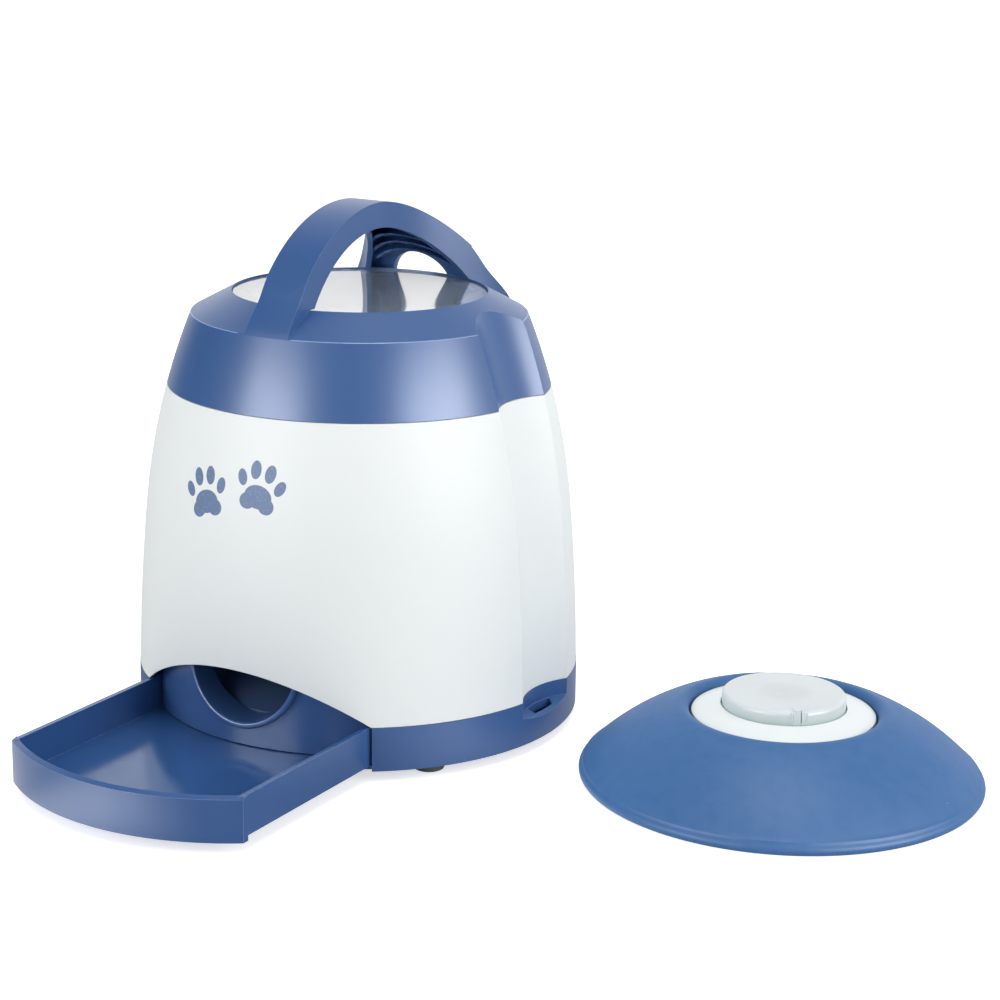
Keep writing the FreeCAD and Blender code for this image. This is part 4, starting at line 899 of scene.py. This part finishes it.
battery_gate = block("battery_gate", (-0.05455, 0.0434, 0.0040), (0.05455, 0.0706, 0.0080))
cut(base, battery_gate)
switch_gate = block("switch_gate", (-0.0842, 0.0237, 0.0040), (-0.0798, 0.0323, 0.0080))
cut(base, switch_gate)
give(base, lid_blue, edge_blue)
finish_edges(base, 0.0003)
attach(base, "dispenser")
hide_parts("base_housing")


# Feet: four round dark rubber pads with a soft lower edge and a shallow cup underneath,
# pressed and glued over the heads of the case screws
foot_profile = profile((0, 0.0006), (0.0040, 0.0006), (0.0047, 0.0))
foot_profile += profile((0.0070, 0.0), (0.0070, ring_low), (0, ring_low))
foot_profile = rounded(foot_profile, [0.0003, 0.0003, 0.0014, 0.0002])
feet = turned("round_rubber_feet", foot_profile, 64, *foot_places[0])
for x, y in foot_places[1:]:
    more = turned("rubber_pad", foot_profile, 64, x, y)
    take(feet)
    more.select_set(True)
    bpy.ops.object.join()
finish_edges(feet, 0)
pad_rubber = moulded(
    "dark_foot_rubber", tone(44, 52, 66), 0.72, 0.06, 0.12, 900, 0.00005, 0.06, 0.9
)[0]
give(feet, pad_rubber)
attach(feet, "dispenser")
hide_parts("rubber_feet")


# Chute panel: the curved blue wall seen under the arch, one moulding with the round mouth that
# the treats fall from; the mouth has a raised rounded lip and a collar that holds the duct
mouth_z, mouth_radius, lip_front = 0.048, 0.0290, 0.0986
panel_blue = moulded("panel_blue_plastic", tone(60, 94, 148), 0.24, 0.012, 0.08)[0]
# The duct is a darker blue than the panel: painted shade for the inside of the mouth
duct_blue = moulded("duct_blue_plastic_painted_shade", tone(46, 72, 112), 0.5, 0.012, 0.08)[0]
dress(duct_blue, "chute_duct")
panel = drum("blue_chute_panel", 0.0960, 0.0096, 0.0825)
cut(panel, drum("panel_back", 0.0940, 0.008, 0.084))
panel_reach = block("panel_reach", (-0.0582, -0.110, 0.005), (0.0582, 0, 0.0258))
wide_reach = block("wide_reach", (-0.064, -0.110, 0.0258), (0.064, 0, 0.090))
join(panel_reach, wide_reach)
shared(panel, panel_reach)
# The lip's rounded profile is spun round the mouth, then its front follows the curved panel
lip_line = [(0.0276, -0.0820), (0.0276, -lip_front), (0.0305, -lip_front), (0.0305, -0.0820)]
lip_line = rounded([Vector((x, y, 0)) for x, y in lip_line], [0.0013, 0.0013], 6)
collar = chain("collar", [p + Vector((0, 0, mouth_z)) for p in lip_line + lip_line[:1]])
bpy.ops.mesh.select_all(action="SELECT")
bpy.ops.mesh.spin(steps=160, angle=2 * pi, center=(0, 0, mouth_z), axis=(0, 1, 0))
close_up(collar)
for vertex in collar.data.vertices:
    if vertex.co.y < -0.090:
        behind_front = vertex.co.y + lip_front
        front = min(lip_front, outline_radius(vertex.co.z, 0.0029))
        vertex.co.y = behind_front - sqrt(front ** 2 - vertex.co.x ** 2)
deselect()
bpy.ops.mesh.primitive_cylinder_add(
    vertices=128,
    radius=mouth_radius,
    depth=0.050,
    location=(0, -0.095, mouth_z),
    rotation=(pi / 2, 0, 0),
)
cut(panel, settled("mouth"))
join(panel, collar)
give(panel, panel_blue, edge_blue)
finish_edges(panel, 0.0003, 3, 40)
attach(panel, "dispenser")
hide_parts("chute_panel")


# Treat tray: one glossy blue moulding, a floor and two side walls closed in front by a curved
# wall that matches the base ring; it slides between the guide walls and is shown fully out
tray = block("blue_treat_tray", (-0.0612, -0.210, 0.0069), (0.0596, -0.05985, 0.0247))
cut(tray, block("tray_room", (-0.0590, -0.220, 0.0091), (0.0574, -0.050, 0.0300)))
tray_out = Vector((0, -0.093, 0))
tray_round = placed(drum("tray_round", 0.1017, -0.01, 0.04), tray_out)
beyond = block("beyond", (-0.15, -0.230, 0.0), (0.15, -0.0935, 0.03))
cut(tray, cut(beyond, tray_round))
front_line = profile((0.1004, 0.0049), (ring_radius, 0.0049), (ring_radius, 0.0237))
front_line += profile((0.1004, ring_top), (0.1004, 0.0049))
front_wall = placed(turned("front_wall", front_line), tray_out)
front_reach = block("front_reach", (-0.0621, -0.210, -0.01), (0.0601, -0.100, 0.04))
shared(front_wall, front_reach)
join(tray, front_wall)
# Polished blue with faint streaks that run down its walls
tray_blue, tree, surface, shader = moulded(
    "glossy_blue_plastic", tone(50, 86, 140), 0.16, 0.015, 0.10, 700, 0.000004, 0.0, 0.3
)
streaks = noise(tree, place_of(tree), 90, 4, (1, 1, 0.04))
streaks = calc(tree, "SUBTRACT", streaks, 0.5)
uneven = calc(tree, "MULTIPLY_ADD", streaks, 0.22, surface.outputs["Roughness"])
link(tree, uneven, shader.inputs["Roughness"])
# The tray's rounded edges get a much lighter blue: painted highlight, with a patchy rub as wear
tray_edge = moulded(
    "rubbed_tray_edge_painted_highlight", tone(140, 170, 215), 0.2, 0.02, 0.05, 1500, 0.000005, 0.25
)[0]
give(tray, tray_blue, tray_edge)
finish_edges(tray, 0.00035, 4)
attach(tray, "drawer")
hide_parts("treat_drawer")


# Window: a clear round disc in the lid, 1 mm below its rim, laid on a soft grey gasket and
# held by the lid's ledge, through which the filling level is seen
under_r, top_r = 0.0528, 0.0560
window_profile = profile(*((under_r * i / 12, 0.1941 + 0.0018 * (i / 12) ** 2) for i in range(13)))
window_edge = profile((0.0580, 0.1959), (0.0580, 0.1985), (top_r, 0.19838))
window_profile += rounded(window_edge, [0.0003])[1:]
for i in range(13, -1, -1):
    window_profile += profile((top_r * i / 14, 0.1967 + 0.00168 * (i / 14) ** 2))
window = turned("clear_lid_window", window_profile)
finish_edges(window, 0, merge=0.000005)
window_clear, tree, surface, shader = moulded(
    "clear_window_plastic", tone(236, 243, 246), 0.05, 0.004, 0.03, 500, 0.0000002, 0.0, 0.25
)
fill(shader, {"Transmission Weight": 0.86, "Coat Weight": 0.6, "Coat Roughness": 0.05, "IOR": 1.58})
give(window, window_clear)
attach(window, "lid")
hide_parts("lid_window")


# Button skirt: a soft matt blue dome, foamed rubber over the hard hub, with a thin bead round
# its foot and a rolled lip round the hole for the plate; it is stretched over the hub's edge
button_x, button_y = 0.2093, 0.0199


def arc_through(start, middle, end, parts):
    # Points on the circle through three points of a profile
    a, b, c = (Vector((p[0], p[1])) for p in (start, middle, end))
    d = 2 * (a.x * (b.y - c.y) + b.x * (c.y - a.y) + c.x * (a.y - b.y))
    sizes = [p.length_squared for p in (a, b, c)]
    centre = Vector(
        (
            (sizes[0] * (b.y - c.y) + sizes[1] * (c.y - a.y) + sizes[2] * (a.y - b.y)) / d,
            (sizes[0] * (c.x - b.x) + sizes[1] * (a.x - c.x) + sizes[2] * (b.x - a.x)) / d,
        )
    )
    from_centre = [p - centre for p in (a, b, c)]
    total = from_centre[0].angle_signed(from_centre[2])
    points = []
    for i in range(parts + 1):
        turn = total * i / parts
        along, across = cos(-turn), sin(-turn)
        x, y = from_centre[0]
        radius, height = x * along - y * across, x * across + y * along
        points.append(Vector((centre.x + radius, 0, centre.y + height)))
    return points


skirt_line = profile((0.0855, 0.0), (0.0882, 0.0))
skirt_line += arc_through((0.0886, 0.0002), (0.08930, 0.0020), (0.0884, 0.0040), 8)
skirt_line += profile((0.0879, 0.0045), (0.0877, 0.0050), (0.0875, 0.0056))
dome = arc_through((0.0880, 0.0047), (0.0720, 0.0187), (0.0500, 0.0310), 44)
skirt_line += [p for p in dome if 0.0060 < p.z < 0.0300]
skirt_line += profile((0.0506, 0.0306), (0.0493, 0.0311), (0.0480, 0.0317), (0.0467, 0.0321))
skirt_line += profile((0.0455, 0.0324), (0.0444, 0.0324), (0.0434, 0.0321), (0.0426, 0.0316))
skirt_line += profile((0.0419, 0.0308), (0.0414, 0.0297), (0.0412, 0.0285), (0.0412, 0.0262))
skirt_line += arc_through((0.0470, 0.0262), (0.0693, 0.0157), (0.0855, 0.0), 24)
skirt = turned("soft_button_skirt", skirt_line, 240, button_x, button_y)
finish_edges(skirt, 0, merge=0.000005)
skirt_soft, tree, surface, shader = moulded(
    "soft_blue_rubber", tone(41, 97, 155), 0.52, 0.02, 0.08, 1900, 0.00002, 0.02, 0.9
)
fill(shader, {"Sheen Weight": 0.03, "Sheen Roughness": 0.45, "Sheen Tint": (0.75, 0.86, 1.0, 1)})
fill(shader, {"Specular IOR Level": 0.38})
give(skirt, skirt_soft)
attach(skirt, "button_unit")
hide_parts("button_skirt")


# Top plate: a thin white ring, slightly domed, with a soft edge; it lies in the skirt's hole
# with a dark gap all round and guides the cap
plate_line = profile((0.0276, 0.0317), (0.0276, 0.0337))
plate_line += arc_through((0.0276, 0.0337), (0.0345, 0.0322), (0.0404, 0.0300), 12)[1:]
plate_line += profile((0.0404, 0.0291), (0.0386, 0.0291))
plate_line += arc_through((0.0386, 0.0291), (0.0333, 0.0306), (0.0276, 0.0317), 12)[1:]
plate = turned("white_button_plate", plate_line, 240, button_x, button_y)
finish_edges(plate, 0.0003, 3, 40, merge=0.000005)
plate_white = moulded("white_plate_plastic", tone(231, 236, 236), 0.4, 0.006, 0.05)[0]
give(plate, plate_white)
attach(plate, "button_unit")
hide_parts("button_top_plate")


# Push cap: a frosted translucent cup, slightly crowned, with a rounded shoulder, a flange that
# holds it under the plate, a split pad moulded on its wall and a gate mark in the middle
cap_line = profile((0, 0.0381), (0.0243, 0.0381), (0.0253, 0.0371), (0.0253, 0.0293))
cap_line += profile((0.0293, 0.0293), (0.0293, 0.0313), (0.0271, 0.0313), (0.0271, 0.0376))
cap_line += arc_through((0.0271, 0.0378), (0.02655, 0.03905), (0.0252, 0.0396), 6)
cap_line += arc_through((0.0248, 0.03966), (0.0130, 0.04010), (0.0026, 0.0402), 10)
cap_line += profile((0.0020, 0.0402), (0.0017, 0.04005), (0.0012, 0.04005), (0.0009, 0.0402))
cap_line += profile((0, 0.0402))
cap = turned("frosted_push_cap", cap_line, 192)
join(cap, block("pad", (-0.0037, -0.0273, 0.0340), (0.0037, -0.0255, 0.0394)))
join(cap, block("latch", (-0.0020, -0.0271, 0.0380), (0.0020, -0.0232, 0.0404)))
cut(cap, block("split", (0.0004, -0.030, 0.0346), (0.0010, -0.0262, 0.0410)))
for x in (-0.0030, 0.0026):
    groove = block("groove", (x, -0.030, 0.0346), (x + 0.0004, -0.0271, 0.0385))
    cut(cap, groove)
placed(cap, (button_x, button_y, 0), 37.5)
finish_edges(cap, 0.00015, 2, 40, merge=0.000005)
# Milky on top, cooler and greener down the wall, where the light comes through
cap_frosted, tree, surface, shader = moulded(
    "frosted_cap_plastic", tone(230, 237, 239), 0.34, 0.045, 0.14, 800, 0.00005, 0.04, 0.3
)
low_wall = span(tree, axes_of(tree, place_of(tree))["Z"], 0.0330, 0.0384, 1, 0)
patches = span(tree, noise(tree, place_of(tree), 160, 2), 0.35, 0.65, 0.5, 1.0)
green_share = calc(tree, "MULTIPLY", low_wall, patches)
cooled = blend_colour(tree, green_share, surface.outputs["Colour"], tone(210, 231, 226))
link(tree, cooled, shader.inputs["Base Color"])
fill(shader, {"Transmission Weight": 0.25, "Subsurface Weight": 0.3, "Subsurface Scale": 1.0})
fill(shader, {"Subsurface Radius": (0.004, 0.0045, 0.0045)})
give(cap, cap_frosted)
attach(cap, "button_press")
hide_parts("button_cap")


# Window gasket and inner whites: a thin dark ring under the window, and the natural white
# mouldings that carry the treats and the mechanism: deck, funnel, rotor housing, plates
gasket_dark = moulded(
    "dark_gasket_rubber", tone(38, 42, 48), 0.68, 0.05, 0.12, 1100, 0.00003, 0.02, 0.6
)[0]
dress(gasket_dark, "window_gasket")
inner_white = moulded(
    "natural_inner_plastic", tone(205, 211, 214), 0.50, 0.03, 0.10, 900, 0.00003, 0.03, 0.5
)[0]
dress(inner_white, "mechanism_deck", "hopper", "rotor_housing", "gear_plate", "cap_plunger")


# Dosing rotor and battery door: blue mouldings as the base, the rotor scratched dull by treats
def marked(finish, pattern, low, high, amount, colour):
    # Patches of another colour where the pattern is strong
    made, tree, surface, shader = finish
    patches = span(tree, noise(tree, place_of(tree), *pattern), low, high, 0, amount)
    patched = blend_colour(tree, patches, surface.outputs["Colour"], colour)
    link(tree, patched, shader.inputs["Base Color"])
    return made


scuffed = moulded(
    "scuffed_blue_plastic", tone(52, 84, 136), 0.42, 0.04, 0.14, 700, 0.00004, 0.06, 0.8
)
scratches = (500, 5, (0.08, 1, 1))
dress(marked(scuffed, scratches, 0.58, 0.66, 0.3, tone(96, 124, 168)), "dosing_rotor")
dress(lid_blue, "battery_door")


# Gears and cam: creamy acetal, waxy and a little greasy where the teeth run
creamy = moulded(
    "creamy_gear_plastic", tone(226, 221, 203), 0.38, 0.03, 0.14, 800, 0.00002, 0.03, 0.3
)
gear_cream = marked(creamy, (130, 3), 0.50, 0.68, 0.5, tone(196, 186, 150))
dress(gear_cream, "rotor_gear", "idler_gear", "index_cam")


# Black mouldings: glass-filled cases and the switch, with a coarser, faintly streaked surface
fibred = moulded("dark_case_plastic", tone(50, 53, 57), 0.55, 0.05, 0.14, 800, 0.00004, 0.04, 0.6)
fibres = (380, 4, (1, 0.12, 1))
case_dark = marked(fibred, fibres, 0.55, 0.75, 0.16, tone(112, 116, 122))
dress(case_dark, "gearbox_case", "position_switch", "battery_box", "power_switch_housing")
dress(case_dark, "power_switch_knob", "button_hub", "cell_cover")


# Metal parts: drawn or turned stock with fine lines along the work and a few dull stains
drawn_metal, given, made_by = new_group(
    "drawn_metal",
    {
        "Colour": (0.6, 0.6, 0.62, 1),
        "Stain": (0.3, 0.3, 0.3, 1),
        "Roughness": 0.3,
        "Line direction": (1, 1, 0.05),
        "Line scale": 1800.0,
    },
    ("Colour", "Roughness", "Height"),
)
tree = drawn_metal
drawn = tree.nodes.new("ShaderNodeMapping")
link(tree, place_of(tree), drawn.inputs["Vector"])
link(tree, given["Line direction"], drawn.inputs["Scale"])
lines = noise(tree, drawn.outputs[0], given["Line scale"], 3)
stain = span(tree, noise(tree, place_of(tree), 210, 4), 0.52, 0.72, 0, 0.55)
shade = span(tree, lines, 0.3, 0.7, 0.86, 1.0)
stained = blend_colour(tree, stain, given["Colour"], given["Stain"])
link(tree, scaled(tree, stained, shade), made_by["Colour"])
dulled = calc(tree, "MULTIPLY_ADD", stain, 0.25, given["Roughness"])
link(tree, calc(tree, "MULTIPLY_ADD", lines, 0.10, dulled), made_by["Roughness"])
link(tree, lines, made_by["Height"])


for name, colour, stained, roughness, direction, scale, pieces in (
    ("zinc_plated_steel", (196, 198, 202), (150, 148, 140), 0.30, (1, 1, 0.1), 1800,
     ("case_screws", "mechanism_screws", "gearbox_screws", "button_screws")),
    ("ground_shaft_steel", (206, 207, 210), (168, 166, 160), 0.18, (0.6, 1, 1), 1800,
     ("rotor_shaft", "idler_pin", "motor_shaft")),
    ("pressed_motor_can", (186, 187, 188), (140, 138, 132), 0.34, (0.05, 1, 1), 1200,
     ("drive_motor",)),
    ("spring_wire", (188, 190, 194), (120, 116, 108), 0.28, (1, 1, 1), 2600,
     ("return_spring",)),
    ("oiled_bush_brass", (206, 170, 96), (140, 104, 52), 0.30, (0.5, 1, 1), 1500,
     ("shaft_bushes", "motor_pinion")),
    ("nickel_plated_contacts", (214, 212, 206), (170, 164, 150), 0.16, (1, 1, 0.3), 1300,
     ("battery_contacts", "small_contacts")),
):
    values = {"Colour": tone(*colour), "Stain": tone(*stained), "Roughness": roughness}
    values.update({"Line direction": direction, "Line scale": scale})
    finish, tree, surface, shader = shader_of(name, drawn_metal, values, 0.000006)
    fill(shader, {"Metallic": 1.0})
    dress(finish, *pieces)


# Cells: four round cells upright in the base and two small ones lying under the button, each a
# steel can in a printed dark sleeve with a copper-coloured end and a thin pale line
def sleeve(name, axis, band_low, band_high):
    made, tree, surface, shader = moulded(
        name, tone(40, 43, 48), 0.30, 0.05, 0.10, 600, 0.000008, 0.03, 0.3
    )
    along = axes_of(tree, place_of(tree))[axis]
    copper = span(tree, along, band_low, band_low + 0.0002)
    line = calc(tree, "COMPARE", along, band_low - 0.0016, 0.0003)
    banded = blend_colour(tree, copper, surface.outputs["Colour"], tone(196, 128, 82))
    lined = blend_colour(tree, line, banded, tone(214, 208, 196))
    bare = span(tree, along, band_high, band_high + 0.0002)
    link(tree, blend_colour(tree, bare, lined, tone(190, 190, 188)), shader.inputs["Base Color"])
    shining = calc(tree, "MAXIMUM", calc(tree, "MULTIPLY", copper, 0.85), bare)
    link(tree, shining, shader.inputs["Metallic"])
    return made


cell_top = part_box("battery_cells")[1][2]
dress(sleeve("cell_sleeve", "Z", cell_top - 0.0120, cell_top - 0.0016), "battery_cells")
small_low, small_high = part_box("small_cells")
lie_along = "X" if small_high[0] - small_low[0] > small_high[1] - small_low[1] else "Y"
small_end = small_high[0] if lie_along == "X" else small_high[1]
dress(sleeve("small_cell_sleeve", lie_along, small_end - 0.0105, small_end - 0.0012), "small_cells")


# Boards: green solder mask over copper tracks, with tinned rings round the holes
board_mask, tree, surface, shader = moulded(
    "green_circuit_board", tone(28, 84, 52), 0.34, 0.04, 0.10, 1200, 0.00001, 0.01, 0.6
)
tracks = tree.nodes.new("ShaderNodeTexBrick")
link(tree, place_of(tree), tracks.inputs["Vector"])
fill(tracks, {"Scale": 1.0, "Brick Width": 0.0074, "Row Height": 0.0019})
fill(tracks, {"Mortar Size": 0.00022, "Mortar Smooth": 0.1})
tracked = blend_colour(tree, tracks.outputs["Fac"], surface.outputs["Colour"], tone(52, 124, 72))
holes = tree.nodes.new("ShaderNodeTexVoronoi")
link(tree, place_of(tree), holes.inputs["Vector"])
holes.inputs["Scale"].default_value = 240
ring = span(tree, holes.outputs["Distance"], 0.13, 0.15, 1, 0)
link(tree, blend_colour(tree, ring, tracked, tone(196, 198, 190)), shader.inputs["Base Color"])
dress(board_mask, "control_board", "receiver_module", "button_board")


# Chips, speaker and lamps: black moulded packages and paper cone, and milky lamp lenses
chip_black = moulded(
    "black_chip_package", tone(34, 35, 37), 0.6, 0.06, 0.12, 2600, 0.00003, 0.03, 0.5
)[0]
dress(chip_black, "board_components", "speaker", "tact_switch")
lens_milky, tree, surface, shader = moulded(
    "milky_lamp_lens", tone(232, 234, 228), 0.22, 0.02, 0.06, 900, 0.000004, 0.01, 0.1
)
fill(shader, {"Transmission Weight": 0.5})
dress(lens_milky, "button_leds")
